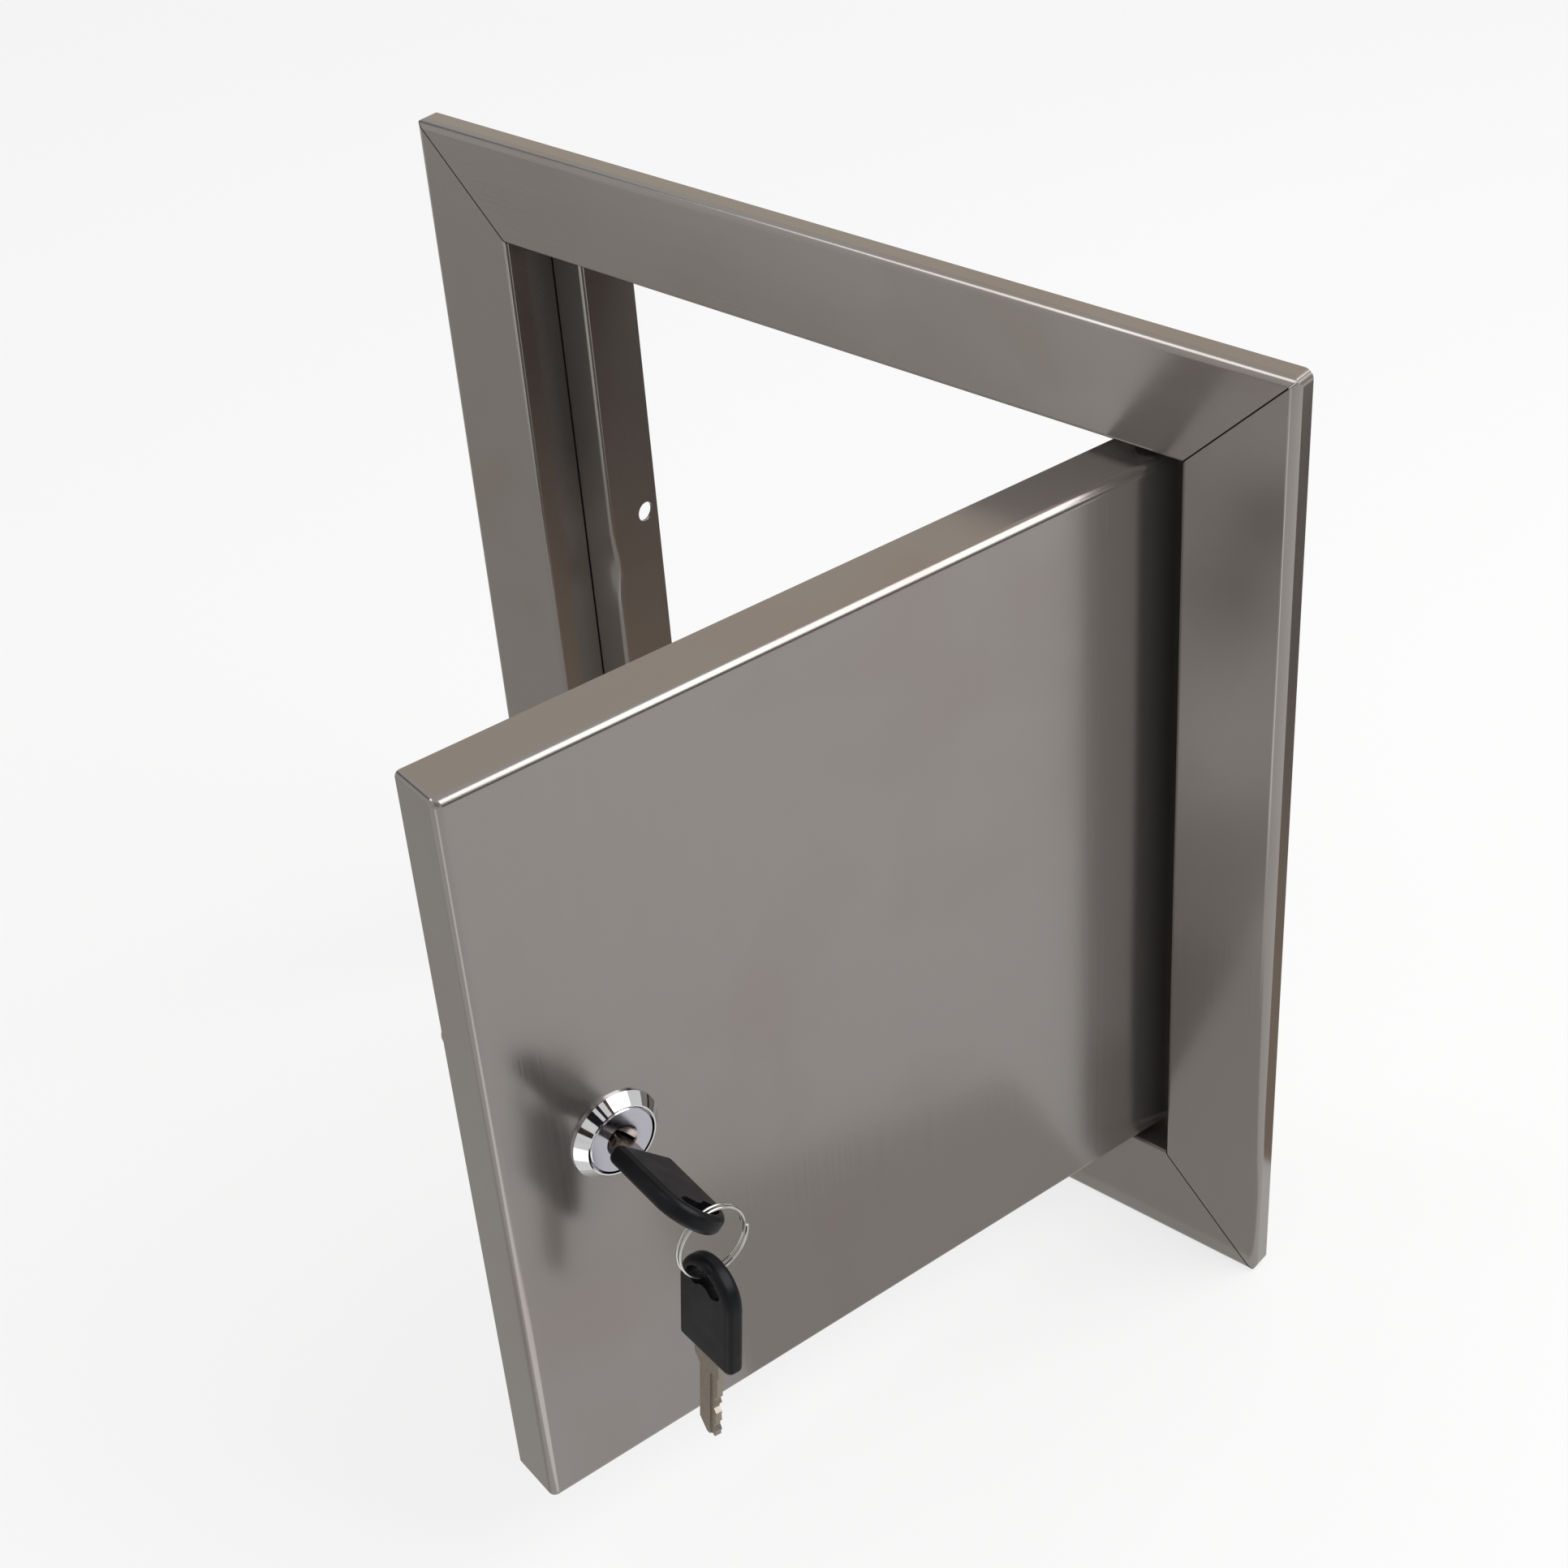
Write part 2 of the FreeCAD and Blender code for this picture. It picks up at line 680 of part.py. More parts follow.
def lock_cam():
    """Cranked latch whose tip turns behind the rear edge of the frame's sleeve."""
    body = new_body("lock_cam")
    thick = dim.cam_thickness
    bend = -dim.cam_bend_start
    after = bend - dim.cam_bend_run
    tip = -dim.cam_reach
    front = [(dim.cam_root, stop_end), (bend, stop_end), (after, latch_front), (tip, latch_front)]
    back = [(tip, latch_front - thick), (after + thick * 0.5, latch_front - thick),
            (bend + thick * 0.5, cam_end), (dim.cam_root, cam_end)]
    pad_middle(body, sketch_on(body, "XZ_Plane", front + back), dim.cam_half_width * 2)
    ends = (dim.cam_root.value, tip.value)
    rounding = dim.cam_half_width - dim.disc_chamfer
    round_edges(body, rounding,
                lambda edge: along(edge, Z_AXIS) and any(near(edge.CenterOfMass.x, end) for end in ends))
    square_hole(body, cam_end, stop_end)
    body.Placement = PLUG


def cam_washer():
    body = new_body("cam_washer")
    bore = dim.cam_screw_radius + dim.hole_clearance
    revolve(body, [(bore, cam_washer_end), (dim.cam_washer_radius, cam_washer_end),
                   (dim.cam_washer_radius, cam_end), (bore, cam_end)])
    body.Placement = PLUG


def cam_screw():
    body = new_body("cam_screw")
    head_end = cam_washer_end - dim.cam_screw_head_height
    shank_top = cam_washer_end + dim.cam_screw_length
    chamfer = dim.disc_chamfer
    revolve(body, [(0, head_end), (dim.cam_screw_head_radius - chamfer, head_end),
                   (dim.cam_screw_head_radius, head_end + chamfer),
                   (dim.cam_screw_head_radius, cam_washer_end), (dim.cam_screw_radius, cam_washer_end),
                   (dim.cam_screw_radius, shank_top), (0, shank_top)])
    half = dim.cam_screw_slot * 0.5
    centred_box(body, "Subtractive", dim.cam_screw_head_radius + OVERCUT, half,
                head_end - OVERCUT, head_end + dim.cam_screw_slot)
    body.Placement = PLUG


lock_bezel()
lock_housing()
lock_washer()
lock_nut()
lock_plug()
lock_wafers()
stop_washer()
lock_cam()
cam_washer()
cam_screw()


# Keys. Local axes: z along the key towards the bow, zero at the centre of its arch; x across; y through.
bow_base = -dim.bow_straight
arch_level = dim.bow_height + dim.bow_straight


def key_bow(label, place):
    body = new_body(label)
    half = dim.bow_half_width
    thick = dim.bow_half_thickness
    centred_box(body, "Additive", half, thick, bow_base, as_dim(0))
    cylinder(body, "Additive", (0, -thick, 0), Y_AXIS, half, thick * 2)
    round_edges(body, dim.bow_corner_radius,
                lambda edge: along(edge, Y_AXIS) and near(edge.CenterOfMass.z, bow_base))
    round_edges(body, dim.bow_edge_radius, lambda edge: near(abs(edge.CenterOfMass.y), thick))
    # curved slot under the arch, for the ring
    sketch = sketch_on(body, "YZ_Plane", [(-half, dim.bow_slot_inner), (half, dim.bow_slot_inner),
                                          (half, dim.bow_slot_outer), (-half, dim.bow_slot_outer)])
    before = body.Shape.Volume
    groove = body.newObject("PartDesign::Groove", "ring_slot")
    groove.Profile = sketch
    groove.ReferenceAxis = (origin_plane(body, "Y_Axis"), [""])
    groove.Midplane = True
    bind(groove, "Angle", dim.bow_slot_angle)
    doc.recompute()
    if body.Shape.Volume >= before:
        raise RuntimeError(f"{label}: the ring slot removed nothing")
    reach = dim.bow_slot_outer.value + OVERCUT

    def in_slot(edge):
        return along(edge, Y_AXIS) and math.hypot(edge.CenterOfMass.x, edge.CenterOfMass.z) < reach

    round_edges(body, dim.bow_slot_corner, in_slot)
    centred_box(body, "Subtractive", dim.blade_half_width, dim.blade_half_thickness, bow_base - OVERCUT,
                bow_base + dim.blade_head)
    body.Placement = place


def key_blade(label, place):
    """Flat blade with two shoulders, five bitting cuts along one edge and a groove in each face."""
    body = new_body(label)
    half = dim.blade_half_width
    head = bow_base + dim.blade_head
    shoulder_end = bow_base - (dim.bow_height - dim.bezel_height - dim.shoulder_gap)
    tip = bow_base - dim.blade_length
    shoulder = half + dim.shoulder_width
    outline = [(-half, head), (half, head), (half, bow_base), (shoulder, bow_base), (shoulder, shoulder_end),
               (half, shoulder_end)]
    cuts = (0.6, 1.0, 0.35, 0.8, 0.5)
    ramp = dim.wafer_thickness
    for index, share in enumerate(cuts):
        level = wafer_level(index) - dim.wafer_thickness * 0.5 - arch_level
        depth = half - dim.bitting_depth * share
        if index == 0:
            outline.append((half, level + ramp))
        outline.append((depth, level + ramp * 0.5))
        outline.append((depth, level - ramp * 0.5))
        if index < len(cuts) - 1:
            outline.append((half - dim.bitting_depth * 0.2, level - dim.wafer_pitch * 0.5))
    outline += [(half - dim.blade_tip, tip), (dim.blade_tip - half, tip), (-half, tip + dim.blade_tip)]
    back = half + dim.back_shoulder_width
    outline += [(-half, shoulder_end), (-back, shoulder_end + dim.back_shoulder_slope), (-back, bow_base),
                (-half, bow_base)]
    pad_middle(body, sketch_on(body, "XZ_Plane", outline), dim.blade_half_thickness * 2)
    for side in (1, -1):
        floor = dim.blade_half_thickness - dim.blade_groove_depth
        low = floor if side > 0 else -floor - dim.blade_groove_depth * 2
        middle = -half * 0.4 * side
        box(body, "Subtractive", (middle - dim.blade_groove_half, low, tip - OVERCUT),
            (dim.blade_groove_half * 2, dim.blade_groove_depth * 2, shoulder_end - tip + OVERCUT))
    body.Placement = place


# The key in the lock droops a little about a point inside its keyway.
droop_point = Vector(0, 0, -dim.key_droop_depth.value)
DROOP = Placement(Vector(), Rotation(X_AXIS, dim.key_droop.value), droop_point)
KEY = LOCK * DROOP * LOCK.inverse() * PLUG * Placement(Vector(0, 0, arch_level.value), Rotation())
key_bow("key_bow", KEY)
key_blade("key_blade", KEY)

# The ring hangs parallel to the door from the bow's slot, leaning a little to one side.
slot_point = DROOP.multVec(Vector(0, 0, arch_level.value + dim.ring_slot_reach.value))
lean = math.radians(dim.ring_lean.value)
ring_centre = slot_point + Vector(math.sin(lean), -math.cos(lean), 0) * dim.ring_radius.value
RING = LOCK * Placement(ring_centre, Rotation())

# The spare key hangs from the ring's lowest part, edge on to the door.
spare_lean = math.radians(dim.spare_lean.value)
spare_tilt = math.radians(dim.spare_tilt.value)
out = Vector(0, 0, 1)
upright = Vector(math.sin(spare_lean), math.cos(spare_lean), 0)
wire_point = ring_centre - upright * dim.ring_radius.value
hang = spare_tilt + math.radians(dim.spare_slot_angle.value)
arch_point = wire_point - (upright * math.cos(hang) + out * math.sin(hang)) * dim.spare_hang_radius.value
spare_up = upright * math.cos(spare_tilt) + out * math.sin(spare_tilt)
spare_across = out * math.cos(spare_tilt) - upright * math.sin(spare_tilt)
spare_through = spare_up.cross(spare_across)
SPARE = LOCK * Placement(arch_point, Rotation(spare_across, spare_through, spare_up, "ZXY"))
key_bow("spare_key_bow", SPARE)
key_blade("spare_key_blade", SPARE)


def biarc(start, start_way, end, end_way):
    """Two tangent arcs from one point and direction to another, as edges."""
    gap = end - start
    across = start_way + end_way
    # equal tangent lengths: |gap - d * across| = 2 d
    a = across.dot(across) - 4.0
    b = -2.0 * gap.dot(across)
    c = gap.dot(gap)
    d = (-b - math.sqrt(b * b - 4.0 * a * c)) / (2.0 * a)
    first_pole = start + start_way * d
    last_pole = end - end_way * d
    joint = (first_pole + last_pole) * 0.5
    return [arc(start, first_pole, joint), arc(joint, last_pole, end)]


def arc(start, pole, end):
    """Arc from start to end that is tangent to the lines to their shared pole."""
    chord_middle = (start + end) * 0.5
    rise = pole - chord_middle
    half_chord = (end - start).Length * 0.5
    angle = math.atan2(rise.Length, half_chord)
    sagitta = half_chord * math.tan(angle * 0.5)
    crown = chord_middle + rise * (sagitta / rise.Length)
    return Part.Arc(start, crown, end).toShape()


def split_ring():
    """Two turns of spring wire lying against each other, as one tube on biarcs of a quarter turn."""
    radius = dim.ring_radius.value
    wire = dim.ring_wire_radius.value
    pitch = wire * 2 + dim.ring_strand_gap.value
    quarters = int(round(dim.ring_turns.value * 4))
    slope = pitch / (2 * math.pi)

    def point(index):
        angle = index * math.pi / 2
        height = slope * angle - pitch * dim.ring_turns.value * 0.5
        return Vector(radius * math.cos(angle), radius * math.sin(angle), height)

    def way(index):
        angle = index * math.pi / 2
        return Vector(-radius * math.sin(angle), radius * math.cos(angle), slope).normalize()

    edges = []
    for index in range(quarters):
        edges += biarc(point(index), way(index), point(index + 1), way(index + 1))
    path = Part.Wire(edges)
    section = Part.Wire(Part.makeCircle(wire, point(0), way(0)))
    item = doc.addObject("Part::Feature", "split_ring")
    item.Label = "split_ring"
    item.Shape = path.makePipeShell([section], True, False)
    item.Placement = RING
    parts.append(item)
    # least distance between strands a whole turn apart, on points along the path
    samples = [edge.valueAt(edge.FirstParameter + (edge.LastParameter - edge.FirstParameter) * k / 8)
               for edge in edges for k in range(8)]
    turn = 8 * 8
    spread = turn // 4
    least = min((samples[i] - samples[j]).Length for i in range(len(samples))
                for j in range(i + spread, len(samples)))
    print(f"split_ring least gap between strands: {least - wire * 2:.3f} mm")


split_ring()

doc.recompute()
for item in doc.Objects:
    if "Invalid" in item.State or "Error" in item.State:
        raise RuntimeError(f"{item.Label} failed: {item.State}")
for item in parts:
    if item.Shape.isNull() or not item.Shape.isValid():
        raise RuntimeError(f"{item.Label} has no valid shape")

os.makedirs("parts", exist_ok=True)
for item in parts:
    item.Shape.exportStep(f"parts/{item.Label}.step")
    print(f"{item.Label}: {len(item.Shape.Solids)} solid(s), {item.Shape.Volume:.1f} mm3")
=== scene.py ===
# %% [markdown]
# # A locking access panel, dressed for a studio picture
# The panel is a square frame folded from stainless sheet, with a shallow pan door that turns on
# two hidden screws. A cam lock sits near the door's free edge, with a key in it and a spare key on
# a split ring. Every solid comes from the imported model, so this lesson is about finishes, small
# marks of making and wear, light and the camera.

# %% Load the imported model
import json
import math

import bmesh
import bpy
from mathutils import Matrix, Vector


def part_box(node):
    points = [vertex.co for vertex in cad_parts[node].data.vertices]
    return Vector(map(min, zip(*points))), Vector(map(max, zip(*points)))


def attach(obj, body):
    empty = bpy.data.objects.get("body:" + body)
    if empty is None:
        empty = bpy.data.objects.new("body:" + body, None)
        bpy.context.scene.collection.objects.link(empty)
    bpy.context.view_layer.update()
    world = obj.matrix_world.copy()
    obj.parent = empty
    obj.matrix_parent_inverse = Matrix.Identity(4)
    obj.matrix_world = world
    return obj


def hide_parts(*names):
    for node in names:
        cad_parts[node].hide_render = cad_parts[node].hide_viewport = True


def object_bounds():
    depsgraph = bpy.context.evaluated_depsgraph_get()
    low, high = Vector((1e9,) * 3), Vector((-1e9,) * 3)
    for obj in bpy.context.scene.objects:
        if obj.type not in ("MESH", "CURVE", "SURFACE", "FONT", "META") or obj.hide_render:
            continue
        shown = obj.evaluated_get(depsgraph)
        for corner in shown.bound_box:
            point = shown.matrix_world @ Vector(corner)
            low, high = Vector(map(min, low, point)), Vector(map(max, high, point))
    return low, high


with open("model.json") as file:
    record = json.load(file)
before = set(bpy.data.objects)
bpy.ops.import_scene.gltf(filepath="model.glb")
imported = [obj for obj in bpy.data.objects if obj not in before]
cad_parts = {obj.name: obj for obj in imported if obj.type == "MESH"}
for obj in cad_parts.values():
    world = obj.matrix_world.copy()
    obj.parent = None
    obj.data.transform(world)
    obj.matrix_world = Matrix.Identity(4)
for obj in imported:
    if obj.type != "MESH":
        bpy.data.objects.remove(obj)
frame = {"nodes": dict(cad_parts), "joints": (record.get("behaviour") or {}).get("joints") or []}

cad_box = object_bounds()
nodes = frame["nodes"]
MM = 0.001

# %% [markdown]
# ## Small helpers
# A colour is easiest to read off as a hex value, but a shader works in linear light, so one
# function turns the one into the other. Another adds a node to any tree, sets its properties and
# fills or links its inputs in one call, which keeps a material readable from top to bottom. Inputs
# go by name, or by number where a node repeats its names: 1 to 4 of a Map Range are the range that
# it reads and the range that it gives, and 6 and 7 of a colour Mix are its two colours. The last
# two start a material: an empty one, and one with the Principled shader that all finishes share.


# %% Colour, node and material helpers
def linear(code):
    """Linear RGBA of an sRGB hex value such as #8C8882."""
    channels = [int(code[i:i + 2], 16) / 255 for i in (1, 3, 5)]
    return (*[c / 12.92 if c <= 0.04045 else ((c + 0.055) / 1.055) ** 2.4 for c in channels], 1.0)


def add(tree, kind, inputs=None, **settings):
    """Add a node with its settings; inputs are values to set or sockets to link."""
    node = tree.nodes.new(kind)
    for name, value in settings.items():
        setattr(node, name, value)
    for key, value in (inputs or {}).items():
        if isinstance(value, bpy.types.NodeSocket):
            tree.links.new(value, node.inputs[key])
        else:
            node.inputs[key].default_value = value
    return node


def bare_material(name):
    """A new material and its empty tree."""
    material = bpy.data.materials.new(name)
    material.use_nodes = True
    material.node_tree.nodes.clear()
    return material, material.node_tree


def start_material(name, **constants):
    """A new material, its tree and its Principled shader, with constant sockets set by name."""
    material, tree = bare_material(name)
    shader = add(tree, "ShaderNodeBsdfPrincipled", {k.replace("_", " "): v for k, v in constants.items()})
    add(tree, "ShaderNodeOutputMaterial", {"Surface": shader.outputs["BSDF"]})
    return material, tree, shader


print("#8C8882 in linear light:", [round(c, 3) for c in linear("#8C8882")[:3]])

# %% [markdown]
# ## Dust in the mitres, painted shade in the hinge gap and the fold
# Dust gathers where no cloth reaches, in the hairline of each mitre. The gap beside the hinge and
# the left rail's inner fold get painted shade: their colour is darkened where shade falls. These
# could be thin dark pieces laid into the joints, but dust and shade have no thickness to speak of,
# so each is a mask in the finish, worked out from where a point lies. A mitre is where x and z are
# equally far from the middle. The gap is a band on the right rail's reveal, beside the door's edge.
# The fold follows further down, with the left rail's own mesh.

# %% Masks for the mitre dust and the painted shade in the hinge gap
MITRE_DUST = 0.3 * MM
REVEAL_SIDE = 118 * MM
REVEAL_REACH = 0.4 * MM
GAP_MIDDLE = 1 * MM
GAP_DARK = 3 * MM
GAP_CLEAR = 7 * MM
GAP_SHADE = 0.95


def mitre_dust(tree, place):
    """1 along the hairline where two rails meet."""
    side = add(tree, "ShaderNodeSeparateXYZ", {0: place}).outputs
    across = add(tree, "ShaderNodeMath", {0: side["X"]}, operation="ABSOLUTE").outputs[0]
    along = add(tree, "ShaderNodeMath", {0: side["Z"]}, operation="ABSOLUTE").outputs[0]
    return add(tree, "ShaderNodeMath", {0: across, 1: along, 2: MITRE_DUST}, operation="COMPARE").outputs[0]


# Painted shade: the reveal beside the hinge is darkened where the gap lies in shade.
def hinge_gap_shade(tree, place):
    """Painted shade: nearly 1 on the right rail's reveal beside the door's edge, and 0 at the face and
    further back.
    """
    side = add(tree, "ShaderNodeSeparateXYZ", {0: place}).outputs
    inside = add(tree, "ShaderNodeMath", {0: side["X"], 1: REVEAL_SIDE, 2: REVEAL_REACH},
                 operation="COMPARE").outputs[0]
    apart = add(tree, "ShaderNodeMath", {0: side["Y"], 1: GAP_MIDDLE}, operation="SUBTRACT").outputs[0]
    away = add(tree, "ShaderNodeMath", {0: apart}, operation="ABSOLUTE").outputs[0]
    near = add(tree, "ShaderNodeMapRange", {"Value": away, 1: GAP_DARK, 2: GAP_CLEAR, 3: GAP_SHADE,
                                            4: 0.0}).outputs[0]
    return add(tree, "ShaderNodeMath", {0: inside, 1: near}, operation="MULTIPLY").outputs[0]


print("dust along a mitre:", round(MITRE_DUST / MM, 2), "mm to each side")

# %% [markdown]
# ## Brushed stainless sheet
# The frame and the door are folded from satin stainless. Its look comes from fine parallel
# scratches left by the brushing belt: they blur what the sheet mirrors and catch light as faint
# streaks. A noise that is stretched along the grain gives those streaks to colour, roughness and
# bump. A slower noise stands for handling marks, slightly redder and duller, and a third, slower
# still, for the gentle waves of thin sheet. The scratches also scatter some light evenly, which a
# metallic value a little under 1 stands for. Real scratches are about 0.05 mm apart, too fine to
# show here, so they are drawn at 0.25 mm. Dust in the mitres and painted shade in the hinge gap
# and the left rail's fold turn the steel dark and dull, wherever one of the masks or a piece's
# fold_shade attribute says so.

# %% Brushed stainless material
GRAIN_ACROSS = 0.25 * MM
GRAIN_ALONG = 80 * MM
HAND_MARK = 55 * MM
SHEET_WAVE = 110 * MM
SATIN_LEAST = 0.15
SATIN_MOST = 0.21
STAIN_DULLS = 0.10
DUST_AND_SHADE_DULL = 0.7


def brushed_stainless(name, grain_axis, tone, stained, dust_and_shade_places=()):
    """Satin sheet whose grain runs along x, y or z, with handling marks, dust and painted shade."""
    material, tree, shader = start_material(name, Metallic=0.8)
    place = add(tree, "ShaderNodeTexCoord").outputs["Object"]
    stretch = {axis: 1 / GRAIN_ACROSS for axis in "xyz"}
    stretch[grain_axis] = 1 / GRAIN_ALONG
    lines = add(tree, "ShaderNodeMapping", {"Vector": place, "Scale": [stretch[axis] for axis in "xyz"]})
    grain = add(tree, "ShaderNodeTexNoise", {"Vector": lines.outputs[0], "Scale": 1.0, "Detail": 2.0,
                                             "Roughness": 0.6}).outputs[0]
    marks = add(tree, "ShaderNodeTexNoise", {"Vector": place, "Scale": 1 / HAND_MARK, "Detail": 2.0,
                                             "Roughness": 0.45, "Distortion": 0.4}).outputs[0]
    waves = add(tree, "ShaderNodeTexNoise", {"Vector": place, "Scale": 1 / SHEET_WAVE,
                                             "Detail": 0.0}).outputs[0]
    stain = add(tree, "ShaderNodeMapRange", {"Value": marks, 1: 0.52, 2: 0.78, 3: 0.0, 4: 0.5}).outputs[0]
    streak = add(tree, "ShaderNodeMapRange", {"Value": grain, 1: 0.3, 2: 0.7, 3: 0.0, 4: 0.07}).outputs[0]
    handled = add(tree, "ShaderNodeMix", {0: stain, 6: linear(tone), 7: linear(stained)}, data_type="RGBA")
    brushed = add(tree, "ShaderNodeMix", {0: streak, 6: handled.outputs[2], 7: linear("#B4B0AA")},
                  data_type="RGBA")
    dust_and_shade = add(tree, "ShaderNodeAttribute", attribute_name="fold_shade").outputs["Fac"]
    for darkening in dust_and_shade_places:
        dust_and_shade = add(tree, "ShaderNodeMath", {0: dust_and_shade, 1: darkening(tree, place)}, operation="MAXIMUM").outputs[0]
    # The dark colour #14110E is dust in the mitres and painted shade in the hinge gap and the fold.
    dust_and_shade_tone = add(tree, "ShaderNodeMix", {0: dust_and_shade, 6: brushed.outputs[2], 7: linear("#14110E")},
                 data_type="RGBA")
    tree.links.new(dust_and_shade_tone.outputs[2], shader.inputs["Base Color"])
    fine = add(tree, "ShaderNodeMapRange", {"Value": grain, 1: 0.3, 2: 0.7, 3: SATIN_LEAST,
                                            4: SATIN_MOST}).outputs[0]
    dull = add(tree, "ShaderNodeMath", {0: stain, 1: STAIN_DULLS}, operation="MULTIPLY").outputs[0]
    rough = add(tree, "ShaderNodeMath", {0: fine, 1: dull}, operation="ADD").outputs[0]
    dust_and_shade_rough = add(tree, "ShaderNodeMix", {0: dust_and_shade, 2: rough, 3: DUST_AND_SHADE_DULL}).outputs[0]
    tree.links.new(dust_and_shade_rough, shader.inputs["Roughness"])
    sheet = add(tree, "ShaderNodeBump", {"Height": waves, "Strength": 0.10, "Distance": 0.8 * MM})
    scratch = add(tree, "ShaderNodeBump", {"Height": grain, "Strength": 0.05, "Distance": 0.02 * MM,
                                           "Normal": sheet.outputs[0]})
    tree.links.new(scratch.outputs[0], shader.inputs["Normal"])
    return material


upright_steel = brushed_stainless("stainless_brushed_upright", "z", "#97928E", "#8F8279",
                                  (mitre_dust, hinge_gap_shade))
level_steel = brushed_stainless("stainless_brushed_level", "x", "#97928E", "#8F8279", (mitre_dust,))
door_steel = brushed_stainless("stainless_brushed_door", "z", "#948F8C", "#91847F")
print("steel finishes:", upright_steel.name, level_steel.name, door_steel.name)

# %% [markdown]
# ## Plated hardware
# Screws, nuts, washers and the cam are zinc plated steel: a bluish grey with a fine crystalline
# bloom. The lock's barrel and housing are nickel plated zinc castings with a soft satin, and the
# bezel and the split ring are polished plating, which mirrors the studio with hardly any blur. The
# wafers are brass, and the welds keep the dark scale that heat leaves. One function makes them all,
# because they differ in tone, roughness and how large the bloom is.


# %% Plated metal material
def plated_metal(name, tone, shade, roughness, bloom_mm, bump):
    """Metal whose tone and blur vary with a fine bloom of the given size, the blur by a fifth."""
    material, tree, shader = start_material(name, Metallic=1.0)
    place = add(tree, "ShaderNodeTexCoord").outputs["Object"]
    bloom = add(tree, "ShaderNodeTexNoise", {"Vector": place, "Scale": 1 / (bloom_mm * MM), "Detail": 4.0,
                                             "Roughness": 0.6}).outputs[0]
    colour = add(tree, "ShaderNodeMix", {0: bloom, 6: linear(shade), 7: linear(tone)}, data_type="RGBA")
    tree.links.new(colour.outputs[2], shader.inputs["Base Color"])
    rough = add(tree, "ShaderNodeMapRange", {"Value": bloom, 1: 0.3, 2: 0.7, 3: roughness * 0.8,
                                             4: roughness * 1.2})
    tree.links.new(rough.outputs[0], shader.inputs["Roughness"])
    relief = add(tree, "ShaderNodeBump", {"Height": bloom, "Strength": bump, "Distance": 0.02 * MM})
    tree.links.new(relief.outputs[0], shader.inputs["Normal"])
    return material


zinc_plate = plated_metal("steel_zinc_plated", "#B4B8BC", "#8F9498", 0.34, 0.8, 0.25)
nickel_zinc = plated_metal("zinc_nickel_plated", "#C6C4CC", "#BBB9C2", 0.16, 2.0, 0.03)
chrome = plated_metal("chrome_polished", "#E2E2E3", "#D6D6D8", 0.045, 4.0, 0.01)
ring_steel = plated_metal("spring_steel_nickel_plated", "#CFCEC9", "#B5B3AD", 0.12, 1.5, 0.05)
brass = plated_metal("brass_stamped", "#C9A862", "#A98A4A", 0.32, 0.7, 0.15)
weld_scale = plated_metal("steel_weld_scaled", "#5C5650", "#2C2926", 0.5, 0.6, 0.3)
print("plated finishes:", [m.name for m in (zinc_plate, nickel_zinc, chrome, ring_steel, brass, weld_scale)])

# %% [markdown]
# ## Key blades
# Key blades are nickel silver, a white copper alloy that is drawn and milled to shape, so it shows
# the cutter's fine lines and a warm grey tone. The lines could follow each blade by a map of its
# own. The only blade in sight is the hanging spare's, which lies nearly along z, so a noise that is
# stretched along z does for both.

# %% Nickel silver material
CUTTER_ACROSS = 0.3 * MM
CUTTER_ALONG = 9 * MM


def milled_nickel_silver():
    """Milled white metal with the cutter's fine lines in tone, blur and relief."""
    material, tree, shader = start_material("nickel_silver_milled", Metallic=1.0)
    place = add(tree, "ShaderNodeTexCoord").outputs["Object"]
    stretch = (1 / CUTTER_ACROSS, 1 / CUTTER_ACROSS, 1 / CUTTER_ALONG)
    lines = add(tree, "ShaderNodeMapping", {"Vector": place, "Scale": stretch})
    cutter = add(tree, "ShaderNodeTexNoise", {"Vector": lines.outputs[0], "Scale": 1.0,
                                              "Detail": 2.0}).outputs[0]
    colour = add(tree, "ShaderNodeMix", {0: cutter, 6: linear("#857B72"), 7: linear("#A79E92")},
                 data_type="RGBA")
    tree.links.new(colour.outputs[2], shader.inputs["Base Color"])
    rough = add(tree, "ShaderNodeMapRange", {"Value": cutter, 1: 0.3, 2: 0.7, 3: 0.22, 4: 0.36})
    tree.links.new(rough.outputs[0], shader.inputs["Roughness"])
    relief = add(tree, "ShaderNodeBump", {"Height": cutter, "Strength": 0.2, "Distance": 0.03 * MM})
    tree.links.new(relief.outputs[0], shader.inputs["Normal"])
    return material


nickel_silver = milled_nickel_silver()
print("blade finish:", nickel_silver.name)

# %% [markdown]
# ## Key bows and bushes
# The bows are black ABS, moulded with a fine spark-eroded grain that breaks highlights up, with
# slightly worn, shinier high places. The pivot bushes are black nylon, coarser and duller. A fine
# noise is the grain's relief, and a slow one picks the worn places, in tone and in shine.

# %% Black plastic material
WORN_PLACE = 7 * MM
WORN_MOST = 0.8
WORN_SHINE = 0.75


